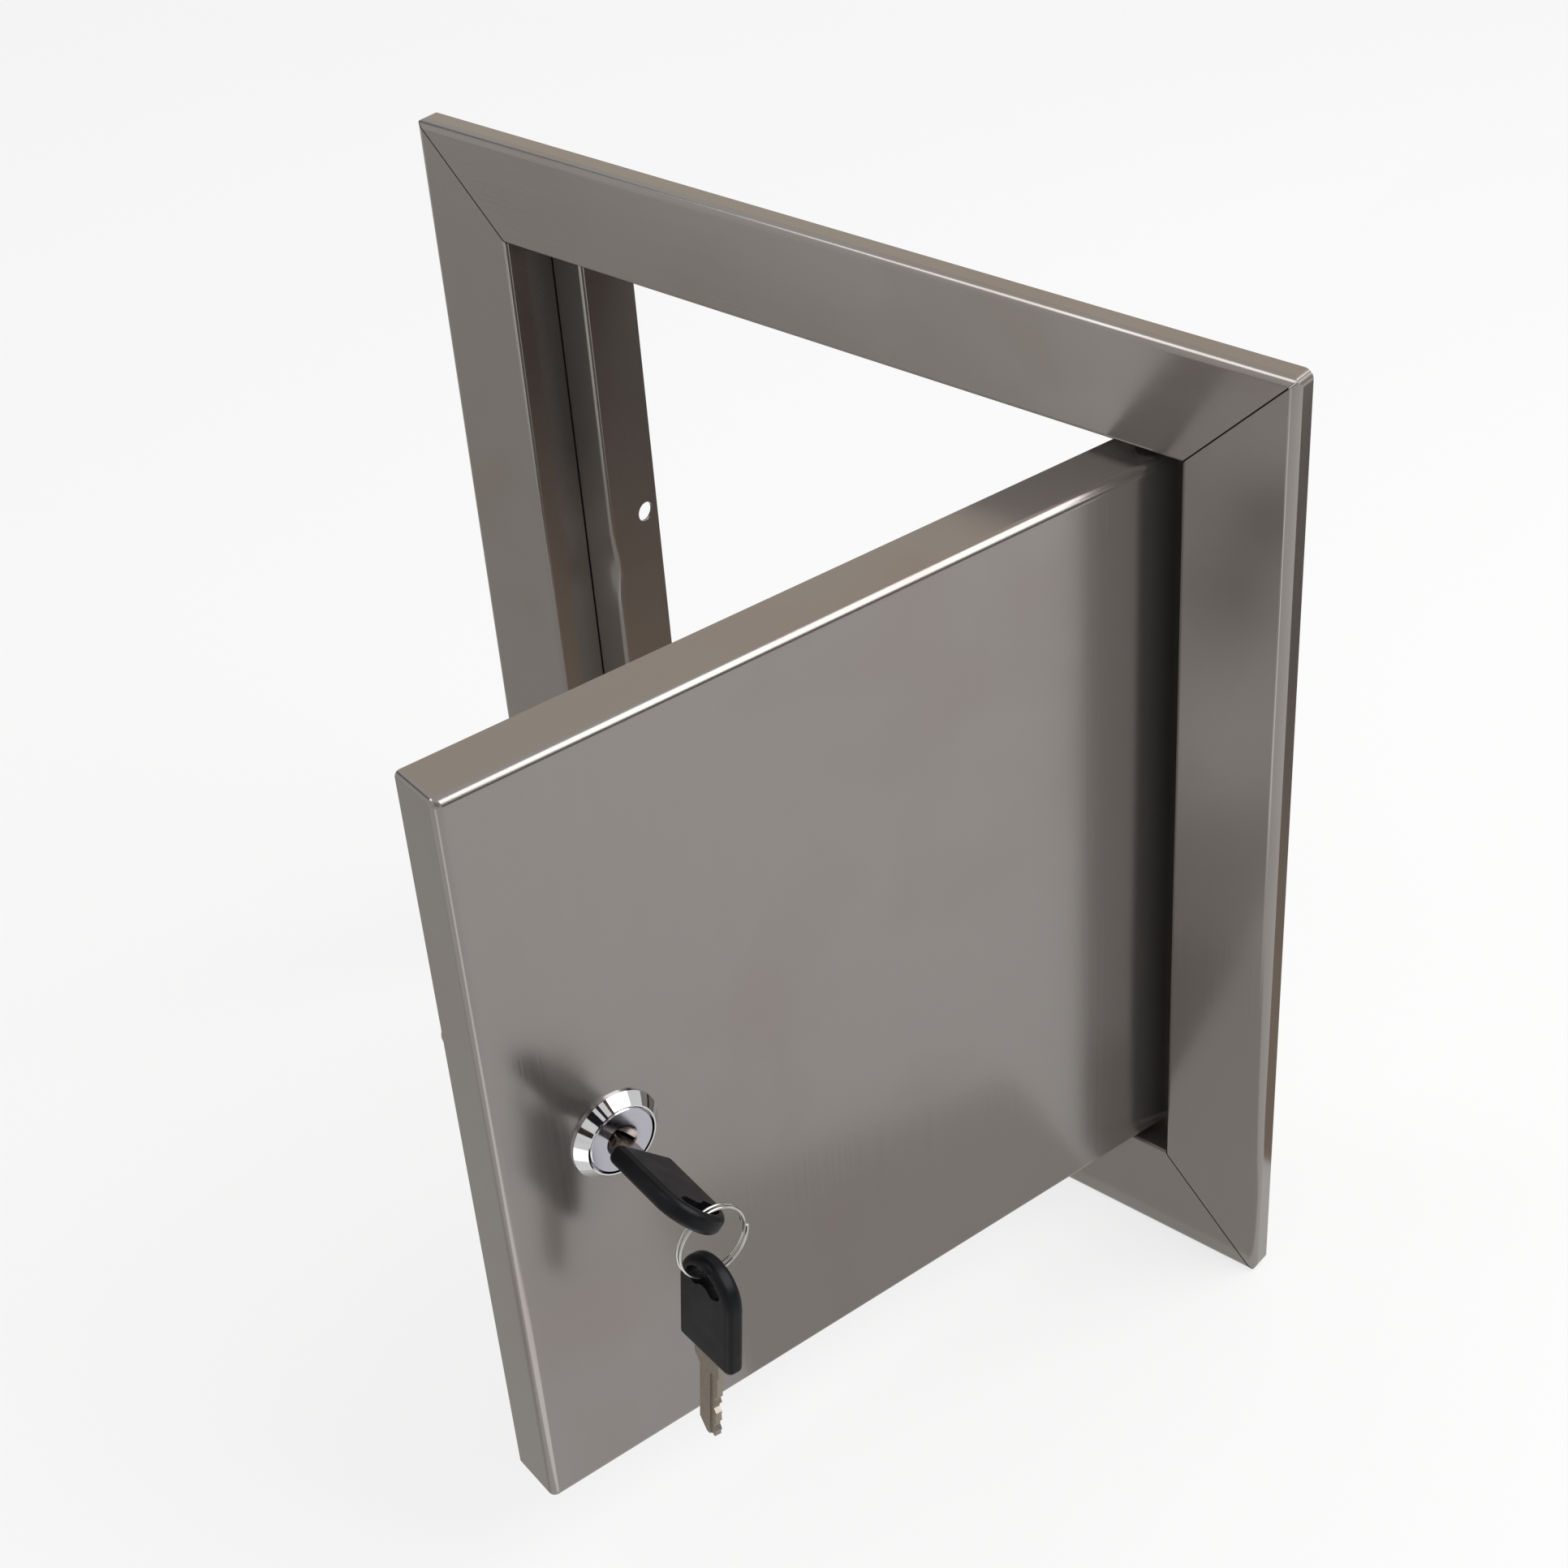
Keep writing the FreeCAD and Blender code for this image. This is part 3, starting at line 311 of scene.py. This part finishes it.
def moulded_plastic(name, tone, worn, roughness, grit_mm):
    """Moulded black plastic with a grain of the given size and worn places that shine more."""
    material, tree, shader = start_material(name, IOR=1.53, Specular_IOR_Level=0.14)
    place = add(tree, "ShaderNodeTexCoord").outputs["Object"]
    grit = add(tree, "ShaderNodeTexNoise", {"Vector": place, "Scale": 1 / (grit_mm * MM),
                                            "Detail": 2.0}).outputs[0]
    wear = add(tree, "ShaderNodeTexNoise", {"Vector": place, "Scale": 1 / WORN_PLACE,
                                            "Detail": 3.0}).outputs[0]
    worn_share = add(tree, "ShaderNodeMapRange", {"Value": wear, 1: 0.45, 2: 0.75, 3: 0.0,
                                                  4: WORN_MOST}).outputs[0]
    colour = add(tree, "ShaderNodeMix", {0: worn_share, 6: linear(tone), 7: linear(worn)}, data_type="RGBA")
    tree.links.new(colour.outputs[2], shader.inputs["Base Color"])
    rough = add(tree, "ShaderNodeMapRange", {"Value": worn_share, 1: 0.0, 2: WORN_MOST, 3: roughness,
                                             4: roughness * WORN_SHINE})
    tree.links.new(rough.outputs[0], shader.inputs["Roughness"])
    relief = add(tree, "ShaderNodeBump", {"Height": grit, "Strength": 0.35, "Distance": 0.03 * MM})
    tree.links.new(relief.outputs[0], shader.inputs["Normal"])
    return material


black_abs = moulded_plastic("abs_black_moulded", "#101114", "#18191C", 0.38, 0.25)
nylon = moulded_plastic("nylon_black_moulded", "#18181A", "#242427", 0.5, 0.4)
print("bow and bush finishes:", black_abs.name, nylon.name)

# %% [markdown]
# ## Dress the solids
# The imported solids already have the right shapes, so each keeps its mesh and gets its finish in
# its material slot. A table of finish to node names keeps this in one place.

# %% Give each solid its finish
finishes = {
    upright_steel: ["frame_left_rail", "frame_right_rail"],
    level_steel: ["frame_top_rail", "frame_bottom_rail"],
    door_steel: ["door_pan", "upper_hinge_plate", "lower_hinge_plate"],
    zinc_plate: ["upper_pivot_screw", "lower_pivot_screw", "pivot_nuts", "upper_pivot_washer",
                 "lower_pivot_washer", "lock_washer", "lock_nut", "stop_washer", "lock_cam",
                 "cam_washer", "cam_screw"],
    nylon: ["upper_pivot_bush", "lower_pivot_bush"],
    chrome: ["lock_bezel"],
    nickel_zinc: ["lock_housing", "lock_plug"],
    brass: ["lock_wafers"],
    nickel_silver: ["key_blade", "spare_key_blade"],
    black_abs: ["key_bow", "spare_key_bow"],
    ring_steel: ["split_ring"],
}
for finish, names in finishes.items():
    for name in names:
        nodes[name].data.materials.clear()
        nodes[name].data.materials.append(finish)
dressed = sum(len(names) for names in finishes.values())
print("solids dressed:", dressed, "of", len(nodes))

# %% [markdown]
# ## The knocked ledge
# On the real panel the edge of the left rail's ledge has been struck and has a shallow dent, level
# with the lock. It could be a bump in the finish, but a dent bends reflections and shows on the
# edge itself, so it is pressed into the mesh: a copy of the rail is merged, cut into narrow strips
# near the dent, and its points are pushed back by a smooth falloff.

# %% Where the dent is and how deep
DENT_LEVEL = -2.5 * MM
DENT_HALF = 16 * MM
DENT_DEPTH = 1.6 * MM
LEDGE_FRONT = 11 * MM
LEDGE_WIDTH = 12 * MM
LEDGE_REACH = 1.5 * MM
ledge_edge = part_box("frame_left_rail")[1].x


def dent_share(point):
    """How far a point of the rail follows the dent, from 0 to 1."""
    along = min(abs(point.z - DENT_LEVEL) / DENT_HALF, 1.0)
    across = min(max((point.x - ledge_edge) / LEDGE_WIDTH + 1.0, 0.0), 1.0)
    behind = min(max((point.y - LEDGE_FRONT) / LEDGE_WIDTH, 0.0), 1.0)
    on_ledge = point.y > LEDGE_FRONT - LEDGE_REACH
    return on_ledge * math.cos(along * math.pi / 2) ** 2 * across ** 2 * (1 - behind)


print("ledge's edge at x", round(ledge_edge / MM, 2), "mm, dent", round(DENT_DEPTH / MM, 2), "mm deep")

# %% Press the dent into a copy of the left rail
CUTS_ALONG = 10
CUTS_ACROSS = 8
CUTS_BEHIND = 6
SHADE_WIDTH = 0.5 * MM
X_AXIS, Y_AXIS, Z_AXIS = (Vector(row) for row in Matrix.Identity(3))
shape = bmesh.new()
shape.from_mesh(nodes["frame_left_rail"].data)
bmesh.ops.remove_doubles(shape, verts=shape.verts, dist=1e-6)
cuts = [(Z_AXIS, DENT_LEVEL + step * DENT_HALF / CUTS_ALONG) for step in range(-CUTS_ALONG, CUTS_ALONG + 1)]
cuts += [(X_AXIS, ledge_edge - LEDGE_WIDTH * step / CUTS_ACROSS) for step in range(1, CUTS_ACROSS)]
cuts += [(Y_AXIS, LEDGE_FRONT + LEDGE_WIDTH * step / CUTS_BEHIND) for step in range(1, CUTS_BEHIND)]
cuts += [(X_AXIS, ledge_edge - LEDGE_WIDTH + SHADE_WIDTH), (Y_AXIS, LEDGE_FRONT - SHADE_WIDTH)]
for normal, distance in cuts:
    everything = shape.verts[:] + shape.edges[:] + shape.faces[:]
    bmesh.ops.bisect_plane(shape, geom=everything, dist=1e-7, plane_co=normal * distance, plane_no=normal)
for point in shape.verts:
    point.co.y += DENT_DEPTH * dent_share(point.co)
dented_mesh = bpy.data.meshes.new("left_rail_dented")
shape.to_mesh(dented_mesh)
shape.free()
dented_mesh.shade_smooth()
dented_mesh.set_sharp_from_angle(angle=math.radians(30))
dented_mesh.materials.clear()
dented_mesh.materials.append(upright_steel)
print("cuts:", len(cuts), "points:", len(dented_mesh.vertices))

# %% [markdown]
# ## Painted shade in the fold, and even shading
# The fold between the left rail's reveal and its ledge gets a thin dark line of painted shade. The
# cuts left a row of points along it, so an attribute on those points says where the finish is darkened.
# The same cuts made long thin triangles, which shade unevenly, so each point's normal is weighted
# by the size of the faces round it. The result is kept as a plain mesh that stands for the rail.

# %% Paint shade into the fold and hand the rail over
fold = Vector((ledge_edge - LEDGE_WIDTH, LEDGE_FRONT))
# Painted shade: points on the fold's line get 1, which darkens the finish there.
dust_and_shade = dented_mesh.attributes.new("fold_shade", "FLOAT", "POINT")
for point in dented_mesh.vertices:
    dust_and_shade.data[point.index].value = float((point.co.xy - fold).length < 0.8 * SHADE_WIDTH)
dented_rail = bpy.data.objects.new("left_rail_dented", dented_mesh)
bpy.context.scene.collection.objects.link(dented_rail)
even = dented_rail.modifiers.new("even_normals", "WEIGHTED_NORMAL")
even.keep_sharp = True
even.weight = 100
evened = bpy.data.meshes.new_from_object(dented_rail.evaluated_get(bpy.context.evaluated_depsgraph_get()))
dented_rail.modifiers.clear()
dented_rail.data = evened
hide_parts("frame_left_rail")
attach(dented_rail, "frame")
print("dented rail:", len(evened.vertices), "points,", len(evened.polygons), "faces")

# %% [markdown]
# ## Turning a node tree into a plain mesh
# A thread and a weld are one small shape repeated along a path, which is what Geometry Nodes are
# for. The helper gives a tree its sizes, lets Blender evaluate it on an empty carrier and keeps the
# result as an ordinary mesh, because the finished piece has to travel without its modifier.


# %% Helpers for node trees
def start_tree(name, **sizes):
    """A geometry tree with one named input for each size; returns the tree and its input sockets."""
    tree = bpy.data.node_groups.new(name, "GeometryNodeTree")
    for label, kind in sizes.items():
        tree.interface.new_socket(label, in_out="INPUT", socket_type=kind)
    tree.interface.new_socket("Geometry", in_out="OUTPUT", socket_type="NodeSocketGeometry")
    return tree, add(tree, "NodeGroupInput").outputs


def end_tree(tree, parts, material):
    """Join the parts, make them real and give them their finish."""
    joined = add(tree, "GeometryNodeJoinGeometry")
    for part in parts:
        tree.links.new(part, joined.inputs[0])
    real = add(tree, "GeometryNodeRealizeInstances", {0: joined.outputs[0]})
    painted = add(tree, "GeometryNodeSetMaterial", {"Geometry": real.outputs[0], "Material": material})
    add(tree, "NodeGroupOutput", {"Geometry": painted.outputs[0]})


def grown_piece(name, tree, sizes, place=Matrix.Identity(4)):
    """The tree's result at the given sizes as a plain mesh object, put in place in its mesh."""
    carrier = bpy.data.objects.new(name + "_carrier", bpy.data.meshes.new(name + "_carrier"))
    bpy.context.scene.collection.objects.link(carrier)
    modifier = carrier.modifiers.new("shape", "NODES")
    modifier.node_group = tree
    labels = {s.name: s.identifier for s in tree.interface.items_tree if s.in_out == "INPUT"}
    for label, value in sizes.items():
        modifier[labels[label]] = value
    graph = bpy.context.evaluated_depsgraph_get()
    mesh = bpy.data.meshes.new_from_object(carrier.evaluated_get(graph))
    bpy.data.objects.remove(carrier)
    mesh.transform(place)
    piece = bpy.data.objects.new(name, mesh)
    bpy.context.scene.collection.objects.link(piece)
    print(name + ":", len(mesh.polygons), "faces")
    return piece


# %% [markdown]
# ## Thread on the lock's housing
# The housing is a threaded body with two flats, so the thread shows only on its two round flanks,
# below the nut that clamps it to the door. A real thread is one helix. Cut by the flats it is a
# stack of short arcs, so one arc with a pointed section is swept, tilted by the helix angle and
# repeated at the pitch, then copied to the other flank half a pitch lower.

# %% Build the thread's tree
HALF_FLANK = math.radians(58)
HELIX_TILT = math.radians(1.5)
tree, size = start_tree("housing_thread", Radius="NodeSocketFloat", Ridge="NodeSocketFloat",
                        Pitch="NodeSocketFloat", Top="NodeSocketFloat", Rows="NodeSocketInt")
arc = add(tree, "GeometryNodeCurveArc", {"Resolution": 25, "Radius": size["Radius"],
                                         "Start Angle": -HALF_FLANK, "Sweep Angle": 2 * HALF_FLANK})
section = add(tree, "GeometryNodeCurvePrimitiveCircle", {"Resolution": 4, "Radius": size["Ridge"]})
ridge = add(tree, "GeometryNodeCurveToMesh", {"Curve": arc.outputs[0], "Profile Curve": section.outputs[0],
                                              "Fill Caps": True})
tilted = add(tree, "GeometryNodeTransform", {"Geometry": ridge.outputs[0], "Rotation": (HELIX_TILT, 0, 0)})
top = add(tree, "ShaderNodeCombineXYZ", {"Z": size["Top"]})
step_down = add(tree, "ShaderNodeMath", {0: size["Pitch"], 1: -1.0}, operation="MULTIPLY")
step = add(tree, "ShaderNodeCombineXYZ", {"Z": step_down.outputs[0]})
rows = add(tree, "GeometryNodeMeshLine", {"Count": size["Rows"], "Start Location": top.outputs[0],
                                          "Offset": step.outputs[0]})
flank = add(tree, "GeometryNodeInstanceOnPoints", {"Points": rows.outputs[0],
                                                   "Instance": tilted.outputs[0]})
half_down = add(tree, "ShaderNodeMath", {0: size["Pitch"], 1: -0.5}, operation="MULTIPLY")
lower = add(tree, "ShaderNodeCombineXYZ", {"Z": half_down.outputs[0]})
other = add(tree, "GeometryNodeTransform", {"Geometry": flank.outputs[0], "Translation": lower.outputs[0],
                                            "Rotation": (0, 0, math.pi)})
end_tree(tree, (flank.outputs[0], other.outputs[0]), nickel_zinc)
print("thread's tree:", len(tree.nodes), "nodes")

# %% Grow the thread on the lock's axis
THREAD_SIZES = {"Radius": 9.15 * MM, "Ridge": 0.4 * MM, "Pitch": 1.5 * MM, "Top": -8.2 * MM, "Rows": 14}
lock_joint = next(joint for joint in frame["joints"] if joint["name"] == "lock_turn")
lock_out = Vector(lock_joint["axis"])
lock_across = Z_AXIS.cross(lock_out)
lock_turned = Matrix((lock_across, Z_AXIS, lock_out)).transposed().to_4x4()
lock_pose = Matrix.Translation(lock_joint["pos_m"]) @ lock_turned
thread = grown_piece("housing_thread", tree, THREAD_SIZES, lock_pose)
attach(thread, "door")

# %% [markdown]
# ## Welds behind the mitres
# The rails meet in mitres with a hairline between them, and what holds them is a weld along the
# back of each mitre, out of sight from the front. A weld is a row of overlapping drops, each laid
# while the last was still soft, so one flattened drop is repeated along the diagonal with a little
# change in size from drop to drop, and the row is turned to all four corners.

# %% Grow the weld rows
FACE_BACK = -6 * MM
WELD_START = 120.5 * MM
WELD_END = 146 * MM
WELD_SIZES = {"First": (WELD_START, FACE_BACK, WELD_START), "Last": (WELD_END, FACE_BACK, WELD_END),
              "Drop": 1.3 * MM, "Drops": 26}
tree, size = start_tree("mitre_welds", First="NodeSocketVector", Last="NodeSocketVector",
                        Drop="NodeSocketFloat", Drops="NodeSocketInt")
drop = add(tree, "GeometryNodeMeshIcoSphere", {"Radius": size["Drop"], "Subdivisions": 2})
flat = add(tree, "GeometryNodeTransform", {"Geometry": drop.outputs[0], "Scale": (1.0, 0.5, 1.0)})
seam = add(tree, "GeometryNodeMeshLine", {"Count": size["Drops"], "Start Location": size["First"],
                                          "Offset": size["Last"]}, mode="END_POINTS")
change = add(tree, "FunctionNodeRandomValue", {2: 0.8, 3: 1.1, "Seed": 7}, data_type="FLOAT")
row = add(tree, "GeometryNodeInstanceOnPoints", {"Points": seam.outputs[0], "Instance": flat.outputs[0],
                                                 "Scale": change.outputs[1]})
corners = []
for turn in range(4):
    turned = add(tree, "GeometryNodeTransform", {"Geometry": row.outputs[0],
                                                 "Rotation": (0, turn * math.pi / 2, 0)})
    corners.append(turned.outputs[0])
end_tree(tree, corners, weld_scale)
welds = grown_piece("mitre_welds", tree, WELD_SIZES)
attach(welds, "frame")

# %% [markdown]
# ## White ground
# The picture has a white ground. A large pale floor lies just under the frame, and the world is
# white to the camera and pale to whatever mirrors it. More light would make the ground white too,
# but it would bleach the object. So Light Path tells the camera's and the mirror's rays from the
# light that falls, and only the former see the ground glow.

# %% Studio paper
PAPER_MIRRORED = 0.78
PAPER_GLOW_SEEN = 0.75
PAPER_GLOW_MIRRORED = 0.6


def seen_share(tree, bare, mirrored):
    """1 for the camera's rays, one value for mirror rays and a bare one for the light that falls."""
    path = add(tree, "ShaderNodeLightPath").outputs
    through = add(tree, "ShaderNodeMath", {0: path["Is Glossy Ray"], 1: path["Is Transmission Ray"]},
                  operation="MAXIMUM")
    pale = add(tree, "ShaderNodeMapRange", {"Value": through.outputs[0], 3: bare, 4: mirrored})
    share = add(tree, "ShaderNodeMix", {0: path["Is Camera Ray"], 2: pale.outputs[0], 3: 1.0})
    return share.outputs[0]


def pale_paper():
    """Matt paper that shows nearly white to the camera and still takes the object's shadow."""
    material, tree, shader = start_material("studio_paper", Base_Color=linear("#F0F0EF"), Roughness=0.9)
    glow = add(tree, "ShaderNodeEmission", {"Color": (1, 1, 1, 1),
                                            "Strength": seen_share(tree, 0.0, PAPER_MIRRORED)})
    path = add(tree, "ShaderNodeLightPath").outputs
    mirrored = add(tree, "ShaderNodeMath", {0: path["Is Glossy Ray"], 1: PAPER_GLOW_MIRRORED},
                   operation="MULTIPLY")
    seen = add(tree, "ShaderNodeMath", {0: path["Is Camera Ray"], 1: PAPER_GLOW_SEEN}, operation="MULTIPLY")
    share = add(tree, "ShaderNodeMath", {0: seen.outputs[0], 1: mirrored.outputs[0]}, operation="MAXIMUM")
    mixed = add(tree, "ShaderNodeMixShader", {0: share.outputs[0], 1: shader.outputs[0], 2: glow.outputs[0]})
    output = next(n for n in tree.nodes if n.type == "OUTPUT_MATERIAL")
    tree.links.new(mixed.outputs[0], output.inputs["Surface"])
    return material


paper = pale_paper()
print("floor finish:", paper.name)

# %% Floor and world
FLOOR_HALF = 3.0
WORLD_LIGHT = 0.55
WORLD_MIRRORED = 0.74


def flat_sheet(name, corners, material):
    """One flat sheet of the studio, which is no part of the object."""
    mesh = bpy.data.meshes.new(name)
    mesh.from_pydata(corners, [], [range(len(corners))])
    mesh.materials.append(material)
    item = bpy.data.objects.new(name, mesh)
    bpy.context.scene.collection.objects.link(item)
    return item


level = cad_box[0][2] - 0.2 * MM
floor_sides = ((-1, -1), (1, -1), (1, 1), (-1, 1))
flat_sheet("studio_floor", [(x * FLOOR_HALF, y * FLOOR_HALF, level) for x, y in floor_sides], paper)
world = bpy.data.worlds.new("studio_white")
bpy.context.scene.world = world
world.use_nodes = True
sky = world.node_tree
sky.nodes.clear()
ground = add(sky, "ShaderNodeBackground", {"Color": (1, 1, 1, 1),
                                           "Strength": seen_share(sky, WORLD_LIGHT, WORLD_MIRRORED)})
add(sky, "ShaderNodeOutputWorld", {"Surface": ground.outputs[0]})
print("floor at", round(level / MM, 2), "mm")

# %% [markdown]
# ## Cards that the metal mirrors
# Metal shows only what surrounds it, so a studio sets up cards. A brown one lies behind the frame
# and darkens the inside of its rails, a grey one at the left tones down the face, and a narrow white
# one in front brightens the right rail by way of the door. A warm one stands at the back and a dark
# one at the right, and narrow dark ones round the camera give the chrome its streaks. Lit cards
# would also light the object, so these glow evenly by themselves and only mirror rays see them.

# %% A card, lying or standing
CARD_NEAR = 0.10
CARD_FAR = 0.28
low = level + 0.5 * MM


def card(name, corners, tone, far_tone=None, strength=1.0):
    """A matt card as a mirror sees it, which may change its tone towards the back."""
    material, tree = bare_material(name)
    place = add(tree, "ShaderNodeTexCoord").outputs["Object"]
    depth = add(tree, "ShaderNodeSeparateXYZ", {0: place}).outputs["Y"]
    share = add(tree, "ShaderNodeMapRange", {"Value": depth, 1: CARD_NEAR, 2: CARD_FAR}).outputs[0]
    colour = add(tree, "ShaderNodeMix", {0: share, 6: linear(tone), 7: linear(far_tone or tone)},
                 data_type="RGBA")
    plain = add(tree, "ShaderNodeEmission", {"Color": colour.outputs[2], "Strength": strength})
    add(tree, "ShaderNodeOutputMaterial", {"Surface": plain.outputs[0]})
    item = flat_sheet(name, corners, material)
    item.visible_camera = False
    item.visible_diffuse = False
    item.visible_shadow = False
    return item


def lying(*points):
    """Corners of a card on the floor."""
    return [(x, y, low) for x, y in points]


def standing(first_foot, last_foot, bottom, top):
    """Corners of an upright card over the line between two feet."""
    return [(*first_foot, bottom), (*last_foot, bottom), (*last_foot, top), (*first_foot, top)]


print("cards lie at", round(low / MM, 2), "mm")

# %% Set up the cards
CARD_DISTANCE = 1.5
STRIP_BOTTOM = 0.12
STRIP_TOP = 1.7
STRIPS = ((-8, 9, "#5A4636"), (-30, 7, "#2A2A2C"), (-47, 12, "#1E1E20"), (-66, 8, "#38302C"),
          (204, 14, "#3A3632"))
card("brown_card_behind", lying((-0.2, 0.036), (0.2, 0.036), (0.52, 0.5), (-0.2, 0.8)), "#86725E", "#341F0C")
card("grey_card_left", lying((-0.75, -0.56), (0.04, -0.32), (0.05, -0.14), (0.185, -0.14), (0.185, -0.012),
                             (-0.75, -0.012)), "#BCBAB6")
card("white_card_front", lying((0.085, -0.7), (0.17, -0.7), (0.16, -0.222), (0.085, -0.222)), "#FFFFFF",
     strength=1.6)
card("warm_card_back", standing((-2.2, 1.2), (0.3, 1.2), 0.5, 2.4), "#DED3C4")
card("dark_card_right", standing((1.1, -0.3), (1.1, 1.2), 0.02, 0.33), "#2C2622")
for number, (azimuth, width, tone) in enumerate(STRIPS, 1):
    ends = [math.radians(azimuth + side * width / 2) for side in (-1, 1)]
    feet = [(CARD_DISTANCE * math.cos(a), CARD_DISTANCE * math.sin(a)) for a in ends]
    card(f"dark_strip_{number}", standing(*feet, STRIP_BOTTOM, STRIP_TOP), tone)

# %% [markdown]
# ## Lamps
# One big soft window at the back right draws the bright line along the door's folded edge, and a dim
# one at the left fills in. Small lamps would do for the level of light, but on satin metal a lamp
# shows as a patch of its own size, and a large one gives the long soft gradients of the real sheet.


# %% Lamps
def softbox(name, place, aim, size, watts):
    """A soft rectangular lamp at a place, turned towards a point, with its size in metres."""
    lamp = bpy.data.lights.new(name, "AREA")
    lamp.shape = "RECTANGLE"
    lamp.size, lamp.size_y = size
    lamp.energy = watts
    item = bpy.data.objects.new(name, lamp)
    item.location = place
    item.rotation_euler = (Vector(aim) - Vector(place)).to_track_quat("-Z", "Y").to_euler()
    bpy.context.scene.collection.objects.link(item)
    return item


softbox("window_right", (0.78, 0.43, 0.94), (0.05, -0.1, 0.05), (1.2, 0.9), 12)
softbox("fill_left", (-0.69, -0.77, 1.37), (0.05, -0.05, 0.1), (0.6, 0.5), 3.0)
bpy.context.scene.view_settings.view_transform = "Standard"

# %% [markdown]
# ## Camera
# The picture was taken from the front right and above. Place, aim, roll and focal length come from
# matching the corners of the frame and the door in the picture with the same corners of the model.

# %% Camera at the picture's view
CAMERA_PLACE = Vector((442.7, -516.6, 464.1)) * MM
CAMERA_AIM = Vector((-6.1, -26.7, -21.3)) * MM
CAMERA_ROLL = math.radians(-4.62)
FOCAL_LENGTH = 63.23
SENSOR_WIDTH = 36.0

forward = (CAMERA_AIM - CAMERA_PLACE).normalized()
level_right = forward.cross(Z_AXIS).normalized()
level_up = level_right.cross(forward)
right = level_right * math.cos(CAMERA_ROLL) + level_up * math.sin(CAMERA_ROLL)
up = right.cross(forward)
lens = bpy.data.cameras.new("picture_camera")
lens.sensor_width = SENSOR_WIDTH
lens.lens = FOCAL_LENGTH
lens.clip_start = 0.01
camera = bpy.data.objects.new("picture_camera", lens)
camera.matrix_world = Matrix.Translation(CAMERA_PLACE) @ Matrix((right, up, -forward)).transposed().to_4x4()
bpy.context.scene.collection.objects.link(camera)
bpy.context.scene.camera = camera
print("camera distance:", round((CAMERA_AIM - CAMERA_PLACE).length, 3), "m")

# %% Print the box of the solids
print("box of the solids:", [[round(v, 4) for v in c] for c in cad_box])
